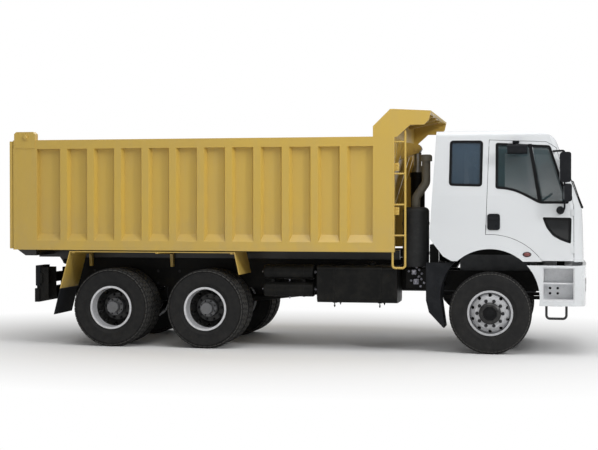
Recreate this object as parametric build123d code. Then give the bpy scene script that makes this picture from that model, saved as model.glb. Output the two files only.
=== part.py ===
import math
import os

from build123d import *

# A three-axle cab-over dump truck, in millimetres.
# While a piece is modelled, x runs forward from the rear axle, y to the left and z up from the ground.

# Overall reach from the rear axle
rear_end = -1470
front_end = 6450
frame_shift = -(rear_end + front_end) / 2

# Axles and wheels
tyre_r = 540
tyre_half = 150
bead_r = 286
rim_half = 128
rim_flange_r = 298
rim_shell = 14
axle_x = {"front": 5200, "mid": 1350, "rear": 0}
front_wheel_y = 1020
twin_y = 905
twin_half_gap = 175
king_y = 930
king_r = 26
spindle_r = 46
drive_end_r = 60
running_gap = 0.5
beam_top = 540
axle_tube_r = 78
bowl_r = 215
pinion_z = 610
pinion_reach = 330
gearbox_end = 3900
vent_count = 10
vent_r = 23
vent_ring_r = 238

# Chassis frame
rail_y = 430
rail_flange = 80
rail_wall = 9
rail_z = (790, 1060)
rail_x = (-1020, 6200)
cab_rest_x = (4372, 4490)
cab_rest_y = (690, 760)
cab_rest_z = 1425
cab_rest_deep = 90
subframe_y = (390, 470)
subframe_z = (1060, 1200)
subframe_x = (-850, 3980)

tow_x = 6360
tow_r = 20
tow_z = (740, 790)

# Boxes and tanks beside the frame, the right side's y negative
fuel_x = (2893, 3975)
fuel_y = (-1150, -560)
fuel_z = (648, 1145)
fuel_corner = 70
strap_thick = 6
strap_half = 25
strap_inset = 235
air_tank_x = (2134, 2838)
air_tank_y = -1000
air_tank_z = (815, 1050)
air_tank_r = 100
filter_at = (4185, -760)
filter_r = 180
filter_z = (1130, 1930)
snorkel_x = 4322
snorkel_r = 58
snorkel_top = 2640
rain_cap_r = 82

# Tipper body
bed_rear = -1420
bed_front = 3950
bed_inner = 1150
bed_skin = 1180
bed_outer = 1250
bed_bottom = 1335
bed_floor_top = 1415
bed_top = 2865
rear_post = -1065
front_post = 3664
rib_count = 11
rib_face = 100
rib_foot = 160
top_rail_z = 2740
ledge_z = (1462, 1560)
bed_hinge = (-950, 1150)
hinge_pin_r = 30
sill_z = (1205, 1335)
sill_front = 3930
floor_front = 3440
bolster_x = (-1410, -1280, -1120)
bolster_bottom = 1250
gate_pin = (-1229, 2904)
gate_pin_r = 24
gate_x = (-1470, -1450, -1430)
shield_tip = 4432
ladder_x = (3925, 4092)
ladder_y = -1222
ladder_z = (1125, 2940)
rung_z = (1556, 1964, 2373, 2795)

# Hoist
hoist_x = 4130
hoist_base_z = 1190
hoist_eye_z = 2750
hoist_pin_r = 30
hoist_stages = (
    # name, outer radius, bottom, top
    ("hoist_barrel", 100, 1140, 2420),
    ("hoist_stage_1", 88, 1200, 2450),
    ("hoist_stage_2", 76, 1210, 2480),
    ("hoist_stage_3", 64, 1220, 2510),
    ("hoist_stage_4", 52, 1230, 2700),
)

# Cab
cab_half = 1220
cab_wall = 50
cab_bottom = 1224
cab_top = 2935
roof_seam = cab_top - 100
window_top = cab_top - 145
screen_foot = (6375, 1894)
screen_lean = 308 / 838
front_lean = 25 / 670
arch_centre = (axle_x["front"], 745)
arch_r = 640
fender_r = 826
panel_gap = 6
flap_reach = 610
flap_bottom = 340
valance_rear = 4361
valance_top = 1200
cab_pivot = (6300, 930)
cab_pivot_r = 20
door_axis = (6275, -cab_half)
door_pin_r = 9
door_rear_x = 5140
door_swing_room = 90
brow_r = 190
tunnel_front = 5880
tunnel_top = 1740
fender_top = 1573
bumper_top = 1175
bumper_bottom = 650
bumper_wall = 45
member_x = (-900, 675, 2200, 3300)
member_z = 955
member_r = 45
engine_x = (4750, 5780)
engine_half = 330
engine_z = (760, 1640)
gearbox_half = 220
gearbox_z = (760, 1000)
# leaves of each spring, from the longest: half length, bottom and top
front_leaves = [(830, 700, 722), (640, 678, 700), (470, 656, 678), (300, 634, 656)]
bogie_leaves = [(800, 640, 662), (620, 662, 684), (450, 684, 706), (280, 706, 728)]
hanger_reach = 780
battery_x = (3000, 3760)
battery_y = (560, 1130)
battery_z = (680, 1090)
battery_bracket_x = (3120, 3640)
guard_bar_x = (-1130, -1066)
guard_bar_half = 1180
guard_bar_z = (600, 790)
guard_plate_half = 1190
guard_plate_z = (860, 1000)
guard_arm_y = (355, 415)
tail_lamp_x = (-1116, -1050)
tail_lamp_y = (830, 1180)
tail_lamp_z = (828, 1112)
gate_z = (1350, 2850)
gate_rib_z = ((1350, 1450), (2050, 2140), (2760, 2850))
gate_rib_y = (-1200, -420, 420, 1200)
gate_arm_y = (1088, 1138)
gate_pin_y = (1090, 1262)
lamp_y = (700, 1080)
lamp_z = (830, 1010)
step_x = (5873, 6280)
step_z = (704, 1150)
quarter_window = [(4690, window_top), (5092, window_top - 4), (5082, 2214), (4680, 2226)]
screen_top = window_top - 100
screen_opening = [(-1012, 1975), (1012, 1975), (968, screen_top), (-968, screen_top)]
grille_y = (-760, 760)
grille_z = (1290, 1690)
# y ranges that cut through the cab's right side, and through its skin alone
right_side = (-cab_half - 80, 220 - cab_half)
right_skin = (-cab_half - 80, cab_wall - cab_half)
mudguard_inset = 5
mudguard_inner = 575


def block(x, y, z):
    size = [high - low for low, high in (x, y, z)]
    return Pos(*[(low + high) / 2 for low, high in (x, y, z)]) * Box(*size)


def outline(points):
    return make_face(Polyline(*points, close=True))


def side_prism(face, y):
    return extrude(Plane.XZ.offset(-y[1]) * face, amount=y[1] - y[0])


def side_plate(points, y):
    return side_prism(outline(points), y)


def cross_bar(points, x):
    return extrude(Plane.YZ.offset(x[0]) * outline(points), amount=x[1] - x[0])


def plan_plate(points, z):
    return extrude(Plane.XY.offset(z[0]) * outline(points), amount=z[1] - z[0])


def rod(start, end, radius):
    axis = Vector(*end) - Vector(*start)
    seat = Plane(origin=start, z_dir=axis)
    return seat * Cylinder(radius, axis.length, align=(Align.CENTER, Align.CENTER, Align.MIN))


def tube_run(points, radius, bend):
    path = FilletPolyline(*points, radius=bend)
    return sweep((path ^ 0) * Circle(radius), path)


def disc_y(x, z, radius, y):
    return rod((x, y[0], z), (x, y[1], z), radius)


def mirrored(shape):
    return mirror(shape, about=Plane.XZ)


def both(shape):
    return [shape, mirrored(shape)]


def fused(pieces):
    whole = pieces[0]
    for piece in pieces[1:]:
        whole = whole + piece
    return whole


# Wheels: profiles are radius against distance along the axle, outwards positive
def tyre(y):
    bead_half = rim_half - 16
    shoulder = (tyre_r - 34, tyre_half - 8)
    tread = (tyre_r, tyre_half - 26)
    belly = (410, tyre_half)
    edges = [
        Line((bead_r, -bead_half), (bead_r, bead_half)),
        Polyline((bead_r, bead_half), belly, shoulder, tread),
        Line(tread, (tread[0], -tread[1])),
        Polyline(
            (tread[0], -tread[1]),
            (shoulder[0], -shoulder[1]),
            (belly[0], -belly[1]),
            (bead_r, -bead_half),
        ),
    ]
    return Pos(0, y, 0) * revolve(make_face(edges), Axis.Y)


def rim_barrel(y):
    seat_r = bead_r - 1
    points = [
        (seat_r - rim_shell, -rim_half),
        (rim_flange_r, -rim_half),
        (rim_flange_r, -rim_half + 9),
        (seat_r, -rim_half + 9),
        (seat_r, rim_half - 9),
        (rim_flange_r, rim_half - 9),
        (rim_flange_r, rim_half),
        (seat_r - rim_shell, rim_half),
    ]
    return Pos(0, y, 0) * revolve(outline(points), Axis.Y)


def dish(y, way):
    inner = bead_r - 1 - rim_shell + 2
    points = [
        (inner, 30),
        (inner, 62),
        (236, 122),
        (196, 166),
        (60, 166),
        (60, 152),
        (188, 152),
        (226, 108),
    ]
    turned = [(r, way * along) for r, along in points]
    plate = revolve(outline(turned), Axis.Y)
    for k in range(vent_count):
        turn = Rot(0, 360 * (k + 0.5) / vent_count, 0)
        plate = plate - turn * disc_y(vent_ring_r, 0, vent_r, (-300, 300))
    return Pos(0, y, 0) * plate


def hub(points, bore, y):
    shell = revolve(outline(points), Axis.Y)
    return shell - disc_y(0, 0, bore + running_gap, y)


def front_wheel():
    centre = 0
    hub_points = [(0, -2), (92, -2), (92, 140), (140, 140), (140, 190), (118, 205), (0, 205)]
    drum = [(178, -112), (205, -112), (205, 60), (150, 140), (90, 140), (90, 110), (140, 110), (178, 46)]
    middle = hub(hub_points, spindle_r, (-3, 130)) + revolve(outline(drum), Axis.Y)
    return tyre(centre), fused([rim_barrel(centre), dish(centre, 1), middle])


def twin_wheel():
    tyres = [tyre(twin_half_gap), tyre(-twin_half_gap)]
    rims = fused([
        rim_barrel(twin_half_gap),
        rim_barrel(-twin_half_gap),
        dish(twin_half_gap, -1),
        dish(-twin_half_gap, 1),
    ])
    bolt_ring = revolve(outline([(120, -22), (200, -22), (200, 22), (120, 22)]), Axis.Y)
    hub_points = [(0, -240), (125, -240), (125, 30), (118, 130), (82, 140), (76, 236), (0, 236)]
    drum = [(178, -290), (206, -290), (206, -70), (150, -10), (100, -10), (100, -40), (140, -40), (178, -84)]
    middle = hub(hub_points, drive_end_r, (-241, 120)) + revolve(outline(drum), Axis.Y)
    return tyres, fused([rims, bolt_ring, middle])


# Chassis
def frame_rails():
    web = rail_y - rail_wall
    tip = rail_y - rail_flange
    low, high = rail_z
    section = [
        (rail_y, low),
        (rail_y, high),
        (tip, high),
        (tip, high - rail_wall),
        (web, high - rail_wall),
        (web, low + rail_wall),
        (tip, low + rail_wall),
        (tip, low),
    ]
    ear = block((rail_x[1], cab_pivot[0]), (tip, rail_y), (cab_pivot[1] - 40, cab_pivot[1] + 40))
    nose = disc_y(cab_pivot[0], cab_pivot[1], 40, (tip, rail_y))
    pin = disc_y(cab_pivot[0], cab_pivot[1], cab_pivot_r, (tip, rail_y + 50))
    return both(fused([cross_bar(section, rail_x), ear, nose, pin]))


# towers and beam that carry the cab's rear, shaped to pass under its raked back edge
def cab_rest():
    rear, lead = cab_rest_x
    foot_z = rail_z[1]
    tower = side_plate(
        [
            (rear, foot_z),
            (lead, foot_z),
            (lead, cab_rest_z - cab_rest_deep / 2),
            (lead - cab_rest_deep / 3, cab_rest_z),
            (rear, cab_rest_z),
        ],
        cab_rest_y,
    )
    foot = block(cab_rest_x, (rail_y - rail_flange, cab_rest_y[0]), (foot_z, foot_z + cab_rest_deep))
    half = fused([tower, foot])
    beam_z = (cab_rest_z - cab_rest_deep, cab_rest_z)
    beam = block((rear, lead - cab_rest_deep / 2), (-cab_rest_y[0], cab_rest_y[0]), beam_z)
    return fused([half, mirrored(half), beam])


def cross_members():
    web = rail_y - rail_wall
    tubes = [disc_y(x, member_z, member_r, (-web, web)) for x in member_x]
    front = block((6100, 6190), (-web, web), (rail_z[0] + rail_wall, 1020))
    front = front + block((6100, 6190), (-340, 340), (730, 1020))
    front = front + block((6150, tow_x + 55), (-55, 55), tow_z) - rod((tow_x, 0, 700), (tow_x, 0, 820), tow_r)
    cradle = block((hoist_x - 110, hoist_x + 110), (-rail_y, rail_y), (rail_z[1], rail_z[1] + 30))
    ear_foot = rail_z[1] + 20
    for side in (-1, 1):
        y = sorted((side * 112, side * 140))
        ear = side_plate(
            [
                (hoist_x - 90, ear_foot),
                (hoist_x + 90, ear_foot),
                (hoist_x + 45, hoist_base_z),
                (hoist_x - 45, hoist_base_z),
            ],
            y,
        )
        crown = disc_y(hoist_x, hoist_base_z, 45, y)
        bore = disc_y(hoist_x, hoist_base_z, hoist_pin_r + running_gap, (-150, 150))
        cradle = cradle + (ear + crown - bore)
    return tubes + [front, cradle, cab_rest()]


def subframe_rails():
    beam = block(subframe_x, subframe_y, subframe_z)
    ear_y = (subframe_y[0], subframe_y[0] + 30)
    ear = side_plate(
        [
            (subframe_x[0], subframe_z[0]),
            (subframe_x[0], subframe_z[1]),
            (bed_hinge[0] - 20, bed_hinge[1] + 45),
            (bed_hinge[0] - 48, bed_hinge[1]),
            (bed_hinge[0] - 20, bed_hinge[1] - 45),
        ],
        ear_y,
    )
    pin = disc_y(bed_hinge[0], bed_hinge[1], hinge_pin_r, (ear_y[0], subframe_y[1] + 15))
    return both(fused([beam, ear, pin]))


def axles():
    pieces = []
    half = [
        (0, 430),
        (500, 430),
        (760, 490),
        (king_y - 40, 490),
        (king_y - 40, 590),
        (740, 590),
        (480, beam_top),
        (0, beam_top),
    ]
    beam = cross_bar(half, (axle_x["front"] - 50, axle_x["front"] + 50))
    boss = rod((axle_x["front"], king_y, 488), (axle_x["front"], king_y, 592), 56)
    bore = rod((axle_x["front"], king_y, 400), (axle_x["front"], king_y, 700), king_r + running_gap)
    arm = beam + boss - bore
    pieces.append(arm + mirrored(arm))
    for name in ("mid", "rear"):
        x = axle_x[name]
        tube = disc_y(x, tyre_r, axle_tube_r, (-610, 610))
        ends = disc_y(x, tyre_r, drive_end_r, (-twin_y - 110, twin_y + 110))
        bowl = revolve(
            outline([(0, -230), (110, -230), (bowl_r, -90), (bowl_r, 90), (110, 230), (0, 230)]), Axis.Y
        )
        nose = rod((x + 150, 0, pinion_z), (x + pinion_reach, 0, pinion_z), 105)
        pieces.append(fused([tube, ends, Pos(x, 0, tyre_r) * bowl, nose]))
    return pieces


def knuckle():
    x = axle_x["front"]
    arm = block((x - 55, x + 55), (king_y + 62, king_y + 82), (tyre_r - 95, tyre_r + 95))
    pieces = [arm]
    for z in ((tyre_r - 95, tyre_r - 62), (tyre_r + 62, tyre_r + 95)):
        pieces.append(block((x - 50, x + 50), (king_y, king_y + 70), z))
        pieces.append(rod((x, king_y, z[0]), (x, king_y, z[1]), 50))
    pieces.append(rod((x, king_y, tyre_r - 90), (x, king_y, tyre_r + 90), king_r))
    pieces.append(disc_y(x, tyre_r, spindle_r, (king_y + 75, front_wheel_y + 110)))
    return fused(pieces)


def leaf_springs():
    springs = []
    y = (rail_y - 85, rail_y - 5)
    front = axle_x["front"]
    stack = fused([block((front - half, front + half), y, z) for half, *z in front_leaves])
    saddle = block((front - 70, front + 70), y, (beam_top, 640))
    hanger_x = [front + side * hanger_reach for side in (-1, 1)]
    hangers = [block((x - 50, x + 50), y, (715, rail_z[0])) for x in hanger_x]
    springs.append(fused([stack, saddle] + hangers))
    middle = (axle_x["mid"] + axle_x["rear"]) / 2
    pack = fused([block((middle - half, middle + half), y, z) for half, *z in bogie_leaves])
    trunnion = block((middle - 140, middle + 140), y, (bogie_leaves[-1][2], rail_z[0]))
    pads = []
    for name in ("mid", "rear"):
        x = axle_x[name]
        pads.append(block((x - 70, x + 70), y, (600, 645)) - disc_y(x, tyre_r, axle_tube_r, (0, 600)))
    springs.append(fused([pack, trunnion] + pads))
    return springs + [mirrored(spring) for spring in springs]


def engine_block():
    engine = block(engine_x, (-engine_half, engine_half), engine_z)
    gearbox = block((gearbox_end, engine_x[0]), (-gearbox_half, gearbox_half), gearbox_z)
    return [engine + gearbox]


def prop_shafts():
    room = (-200, 200)
    spans = (
        # from x, from z, to x, to z, radius
        (axle_x["mid"] + pinion_reach, pinion_z, gearbox_end, 860, 52),
        (axle_x["rear"] + pinion_reach, pinion_z, axle_x["mid"] - bowl_r, pinion_z - 40, 45),
    )
    shafts = []
    for x0, z0, x1, z1, radius in spans:
        slope = (z1 - z0) / (x1 - x0)
        whole = rod((x0 - 50, 0, z0 - 50 * slope), (x1 + 50, 0, z1 + 50 * slope), radius)
        shafts.append(whole & block((x0, x1), room, (300, 1200)))
    return shafts


def fuel_tank():
    shell = fillet(block(fuel_x, fuel_y, fuel_z).edges().filter_by(Axis.X), fuel_corner)
    around_y = (fuel_y[0] - strap_thick, fuel_y[1] + strap_thick)
    around_z = (fuel_z[0] - strap_thick, fuel_z[1] + strap_thick)
    middle_z = (fuel_z[0] + fuel_z[1]) / 2
    straps = []
    for x in (fuel_x[0] + strap_inset, fuel_x[1] - strap_inset):
        reach = (x - strap_half, x + strap_half)
        band = block(reach, around_y, around_z)
        straps.append(fillet(band.edges().filter_by(Axis.X), fuel_corner + strap_thick))
        straps.append(block(reach, (fuel_y[1] - 40, -rail_y), (middle_z - 50, middle_z + 50)))
    return [fused([shell] + straps)]


def air_tanks():
    pieces = []
    for z in air_tank_z:
        body = rod((air_tank_x[0], air_tank_y, z), (air_tank_x[1], air_tank_y, z), air_tank_r)
        pieces.append(fillet(body.edges(), air_tank_r * 0.3))
    for x in (air_tank_x[0] + 126, air_tank_x[1] - 148):
        hanger = (x - 20, x + 20)
        pieces.append(block(hanger, (air_tank_y + air_tank_r, -rail_y), (air_tank_z[0], rail_z[1] - 40)))
        pieces.append(block(hanger, (air_tank_y - 20, air_tank_y + air_tank_r + 20), air_tank_z))
    return [fused(pieces)]


def air_intake():
    x, y = filter_at
    low, high = filter_z
    can = rod((x, y, low), (x, y, high), filter_r)
    can = fillet(can.edges().sort_by(Axis.Z)[-1], filter_r * 0.35)
    bands = [rod((x, y, z - 20), (x, y, z + 20), filter_r + 5) for z in (low + 180, high - 220)]
    bracket = block((x - 60, x + 60), (y + filter_r - 30, -rail_y), (low + 20, low + 70))
    foot = block((x - 60, x + 60), (-rail_y - 12, -rail_y), (rail_z[0] + 60, low + 70))
    snorkel = tube_run(
        [(x, y, high - 20), (x, y, high + 130), (snorkel_x, y, high + 330), (snorkel_x, y, snorkel_top)],
        snorkel_r,
        110,
    )
    cap = rod((snorkel_x, y, snorkel_top - 90), (snorkel_x, y, snorkel_top), rain_cap_r)
    cap = fillet(cap.edges().sort_by(Axis.Z)[-1], rain_cap_r * 0.4)
    return [fused([can, bracket, foot, snorkel, cap] + bands)]


def battery_box():
    case = fillet(block(battery_x, battery_y, battery_z).edges().filter_by(Axis.X), 30)
    bracket_y = (rail_y, battery_y[0] + 10)
    brackets = [block((x - 25, x + 25), bracket_y, (820, 960)) for x in battery_bracket_x]
    return [fused([case] + brackets)]


def bumper_form(inset):
    return nose_outline(5600, front_end, cab_half + 5, 175, 28, inset)


def bumper_shell(outer, inner, z):
    height = z[1] - z[0]
    return extrude(Plane.XY.offset(z[0]) * bumper_form(outer), amount=height) - extrude(
        Plane.XY.offset(z[0]) * bumper_form(inner), amount=height
    )


def bumper():
    shell = bumper_shell(0, bumper_wall, (bumper_bottom, bumper_top))
    shell = shell - disc_y(arch_centre[0], arch_centre[1], arch_r, (-1400, 1400))
    shell = shell - block((5000, arch_centre[0]), (-1400, 1400), (600, 1300))
    for side in (-1, 1):
        lamp = sorted((side * lamp_y[0], side * lamp_y[1]))
        shell = shell - block((6200, 6600), lamp, lamp_z)
        shell = shell - block(step_x, sorted((side * 1100, side * 1300)), step_z)
    shell = shell - block((6200, 6600), (-560, 560), (720, 800))
    stays = [block((6190, front_end - bumper_wall), sorted((s * 300, s * 345)), (830, 880)) for s in (-1, 1)]
    return [fused([shell] + stays)]


def headlamps():
    lens = bumper_shell(6, 70, lamp_z) & block((6200, 6600), lamp_y, lamp_z)
    return both(lens)


def front_steps():
    y = (-1212, -950)
    shell = block(step_x, y, step_z)
    cavity = block((step_x[0] + 14, step_x[1] - 14), (-1300, y[1] - 12), (step_z[0] + 30, step_z[1] - 14))
    shelf = block((step_x[0] + 10, step_x[1] - 10), (-1150, y[1] - 6), (930, 950))
    pocket = shell - cavity + shelf
    loop = tube_run(
        [(5925, -1130, step_z[0] + 8), (5925, -1130, 482), (6180, -1130, 482), (6180, -1130, step_z[0] + 8)],
        16,
        45,
    )
    return both(pocket + loop)


def wheel_liners():
    x, z = arch_centre
    inner, outer = 652, 668
    y = (-1165, -760)
    ring = disc_y(x, z, outer, y) - disc_y(x, z, inner, (y[0] - 1, y[1] + 1))
    ring = ring - block((4000, 6400), (-1400, 0), (0, z))
    thick = outer - inner
    flap_x, flap_z = x - flap_reach, flap_bottom
    flap = side_plate(
        [(x - outer, z + 5), (x - inner, z + 5), (flap_x + thick, flap_z), (flap_x, flap_z)], y
    )
    skirt = side_plate(
        [
            (valance_rear, valance_top),
            (valance_rear, 700),
            (valance_rear + 40, 540),
            (flap_x, flap_z),
            (x - outer, z + 5),
            (x - outer * 0.96, z + outer * 0.28),
            (x - outer * 0.75, valance_top),
        ],
        (y[0], y[0] + 10),
    )
    skirt = skirt - disc_y(x, z, inner, (y[0] - 1, y[1] + 1))
    stay = block((x - 680, x - 638), (y[1] - 20, -rail_y), (850, 890))
    foot = block((x - 660, x - 638), (y[1] - 20, y[1] + 15), (720, 890))
    front = fused([ring, flap, skirt, stay, foot])
    flap_y = (2 * mudguard_inset - bed_outer, -mudguard_inner - mudguard_inset)
    rear = side_plate([(-735, 790), (-723, 790), (-814, 433), (-826, 433)], flap_y)
    return both(front) + both(rear)


def rear_mudguards():
    thick = 12
    y = (mudguard_inset - bed_outer, -mudguard_inner)
    plate = side_plate(
        [
            (-735, 790),
            (-588, 1318),
            (1778, 1318),
            (1846, 1014),
            (1834, 1014),
            (1768, 1318 - thick),
            (-578, 1318 - thick),
            (-723, 790),
        ],
        y,
    )
    arms = []
    out = subframe_y[1]
    for x in (-540, 675, 1735):
        section = [
            (-out, 1080),
            (-out, 1190),
            (-out - 12, 1196),
            (-out - 12, 1310),
            (-1235, 1310),
            (-1235, 1290),
            (-out - 90, 1262),
            (-out - 60, 1080),
        ]
        arms.append(cross_bar(section, (x - 20, x + 20)))
    return both(fused([plate] + arms))


def rear_guard():
    bar = block(guard_bar_x, (-guard_bar_half, guard_bar_half), guard_bar_z)
    plate_x = (tail_lamp_x[1], rail_x[0])
    plate = block(plate_x, (-guard_plate_half, guard_plate_half), guard_plate_z)
    arms = []
    for side in (-1, 1):
        y = sorted(side * edge for edge in guard_arm_y)
        arms.append(block((-1070, -930), y, (620, rail_z[0])))
        arms.append(block((-1052, -1034), y, (780, 870)))
    return [fused([bar, plate] + arms)]


def tail_lamps():
    return both(block(tail_lamp_x, tail_lamp_y, tail_lamp_z))


# Hoist
def hoist_pieces():
    made = {}
    for k, (name, radius, low, high) in enumerate(hoist_stages):
        body = rod((hoist_x, 0, low), (hoist_x, 0, high), radius)
        if k < len(hoist_stages) - 1:
            inside = hoist_stages[k + 1]
            body = body - rod((hoist_x, 0, inside[2] - 5), (hoist_x, 0, high + 10), inside[1] + running_gap)
        if k == 0:
            pin = disc_y(hoist_x, hoist_base_z, hoist_pin_r, (-145, 145))
            body = body + (pin - rod((hoist_x, 0, low), (hoist_x, 0, high), radius - 4))
            collar = rod((hoist_x, 0, high - 70), (hoist_x, 0, high), radius + 10)
            body = body + (collar - rod((hoist_x, 0, low), (hoist_x, 0, high), radius - 2))
        made[name] = body
    rod_name = hoist_stages[-1][0]
    eye = disc_y(hoist_x, hoist_eye_z, 60, (-50, 50))
    pin = disc_y(hoist_x, hoist_eye_z, hoist_pin_r, (-62, 62))
    made[rod_name] = fused([made[rod_name], eye, pin])
    return made


# Tipper body
def bed_floor():
    plate = block((bed_rear, floor_front), (-bed_inner, bed_inner), (1393, bed_floor_top))
    bearers = []
    count = 9
    first, last = bed_rear + 60, floor_front - 60
    for k in range(count):
        x = first + (last - first) * k / (count - 1)
        bearers.append(block((x - 45, x + 45), (-bed_inner, bed_inner), (bed_bottom, 1395)))
    sills = []
    for side in (-1, 1):
        sill = block(
            (bed_rear + 60, sill_front), sorted((side * subframe_y[0], side * subframe_y[1])), sill_z
        )
        knuckle_y = sorted((side * (subframe_y[0] + 35), side * subframe_y[1]))
        lug = side_plate(
            [
                (bed_hinge[0] - 95, sill_z[0] + 5),
                (bed_hinge[0] + 60, sill_z[0] + 5),
                (bed_hinge[0] + 48, bed_hinge[1] - 5),
                (bed_hinge[0] - 48, bed_hinge[1] - 5),
            ],
            knuckle_y,
        )
        eye = disc_y(bed_hinge[0], bed_hinge[1], 48, knuckle_y)
        sills.append(sill + lug + eye)
    pins = disc_y(bed_hinge[0], bed_hinge[1], hinge_pin_r + running_gap, (-600, 600))
    clear = [
        disc_y(*bed_hinge, 62, sorted(side * (subframe_y[0] + edge) for edge in (-1, 35)))
        for side in (-1, 1)
    ]
    bolster = side_plate(
        [
            (bolster_x[0], bed_bottom + 5),
            (bolster_x[1], bolster_bottom),
            (bolster_x[2], bolster_bottom),
            (bolster_x[2], bed_bottom + 5),
        ],
        (-bed_inner, bed_inner),
    )
    whole = fused([plate, bolster] + bearers + sills) - pins
    return [whole - clear[0] - clear[1]]


def bed_side():
    skin = (bed_inner, bed_skin)
    post = [
        (front_post, bed_bottom),
        (bed_front, bed_bottom),
        (bed_front, 3227),
        (3893, 3227),
        (front_post, 3002),
    ]
    pieces = [
        block((bed_rear, front_post), skin, (bed_bottom, bed_top)),
        side_plate(post, (bed_inner, bed_outer)),
        block((bed_rear, front_post), (bed_inner, bed_outer), (top_rail_z, bed_top)),
        block((bed_rear, rear_post), (bed_inner, bed_outer), (bed_bottom, bed_top)),
        cross_bar(
            [
                (bed_inner, bed_bottom),
                (bed_outer, bed_bottom),
                (bed_outer, ledge_z[0]),
                (bed_skin, ledge_z[1]),
                (bed_inner, ledge_z[1]),
            ],
            (bed_rear, front_post),
        ),
    ]
    pitch = (front_post - rear_post) / (rib_count + 1)
    for k in range(rib_count):
        x = rear_post + pitch * (k + 1)
        rib = [
            (x - rib_foot / 2, bed_skin - 5),
            (x - rib_foot / 2, bed_skin),
            (x - rib_face / 2, bed_outer),
            (x + rib_face / 2, bed_outer),
            (x + rib_foot / 2, bed_skin),
            (x + rib_foot / 2, bed_skin - 5),
        ]
        pieces.append(plan_plate(rib, (ledge_z[0] - 40, top_rail_z + 20)))
    ear = [(-1400, 2750), (-1090, 2750), (-1090, 2950), (-1120, 2980), (-1370, 2980), (-1400, 2950)]
    pieces.append(side_plate(ear, (bed_inner, bed_outer + 8)))
    whole = fused(pieces)
    return whole - disc_y(gate_pin[0], gate_pin[1], gate_pin_r + running_gap, (1100, 1300))


def bed_front_wall():
    wall = side_plate(
        [
            (floor_front, bed_bottom),
            (floor_front + 60, bed_bottom),
            (bed_front, bed_top),
            (bed_front, 3227),
            (bed_front - 80, 3227),
            (bed_front - 80, bed_top),
            (floor_front, bed_floor_top),
        ],
        (-bed_inner, bed_inner),
    )
    pieces = [wall]
    for y in (-1000, -520, 520, 1000):
        rib = [
            (floor_front + 50, bed_bottom + 40),
            (floor_front + 125, bed_bottom + 40),
            (bed_front, 2640),
            (bed_front, 3000),
            (bed_front - 20, 3000),
        ]
        pieces.append(side_plate(rib, (y - 40, y + 40)))
    for side in (-1, 1):
        y = sorted((side * 66, side * 92))
        lug = [(3870, 2600), (3935, 2850), (4150, 2812), (4192, 2750), (4150, 2690)]
        pieces.append(side_plate(lug, y))
        pieces.append(disc_y(hoist_x, hoist_eye_z, 42, sorted((side * 66, side * 104))))
    return [fused(pieces)]


def cab_shield():
    lip = 24
    top = side_plate(
        [(bed_front, 3226), (shield_tip, 3199), (shield_tip - 5, 3199 - lip), (bed_front, 3226 - lip)],
        (-bed_outer, bed_outer),
    )
    pieces = [top]
    skirt = [
        (bed_front, 3210),
        (shield_tip - 3, 3186),
        (4406, 3084),
        (4344, 3016),
        (4157, 3015),
        (3981, 2857),
        (bed_front, 2857),
    ]
    for side in (-1, 1):
        pieces.append(side_plate(skirt, sorted((side * (bed_outer - lip), side * bed_outer))))
    for y in (-520, 0, 520):
        brace = [(bed_front, 3205), (4400, 3180), (4380, 3150), (bed_front, 3060)]
        pieces.append(side_plate(brace, (y - 12, y + 12)))
    return [fused(pieces)]


def bed_ladder():
    stile = tube_run(
        [
            (ladder_x[1], ladder_y, ladder_z[1]),
            (ladder_x[1], ladder_y, ladder_z[0]),
            (ladder_x[0], ladder_y, ladder_z[0]),
            (ladder_x[0], ladder_y, bed_bottom),
        ],
        15,
        40,
    )
    rungs = [rod((bed_front, ladder_y, z), (ladder_x[1], ladder_y, z), 12) for z in rung_z]
    return [fused([stile] + rungs)]


def tailgate():
    back, mid, face = gate_x
    panel = block((mid, face), (-bed_outer, bed_outer), gate_z)
    ribs = [block((back, mid), (-bed_outer, bed_outer), z) for z in gate_rib_z]
    for y in gate_rib_y:
        ribs.append(block((back, mid), (y - 50, y + 50), gate_z))
    pieces = [panel] + ribs
    arm = [
        (face - 5, 2740),
        (face - 5, gate_z[1]),
        (gate_pin[0] - 40, 2962),
        (gate_pin[0] + 36, 2962),
        (gate_pin[0] + 58, gate_pin[1]),
        (gate_pin[0] + 36, 2846),
        (gate_pin[0] - 100, 2800),
    ]
    for side in (-1, 1):
        pieces.append(side_plate(arm, sorted(side * edge for edge in gate_arm_y)))
        pieces.append(disc_y(*gate_pin, gate_pin_r, sorted(side * edge for edge in gate_pin_y)))
    return [fused(pieces)]


# Cab
def shrunk(points, inset):
    lines = []
    for (x0, z0), (x1, z1) in zip(points, points[1:] + points[:1]):
        length = math.hypot(x1 - x0, z1 - z0)
        normal = ((z1 - z0) / length, (x0 - x1) / length)
        lines.append((*normal, normal[0] * x0 + normal[1] * z0 + inset))
    moved = []
    for (a0, b0, c0), (a1, b1, c1) in zip(lines[-1:] + lines[:-1], lines):
        spread = a0 * b1 - a1 * b0
        moved.append(((c0 * b1 - c1 * b0) / spread, (a0 * c1 - a1 * c0) / spread))
    return moved


def cab_side_outline(inset):
    brow = 4
    points = shrunk(
        [
            (4590, 1285),
            (4410, 1520),
            (4498, cab_top),
            (5450, cab_top - 5),
            (6014, cab_top - 60),
            screen_foot,
            (screen_foot[0] + 27, cab_bottom),
            (4700, cab_bottom),
        ],
        inset,
    )
    face = outline(points)
    return fillet(face.vertices().sort_by_distance((*points[brow], 0))[0], brow_r - inset)


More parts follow.
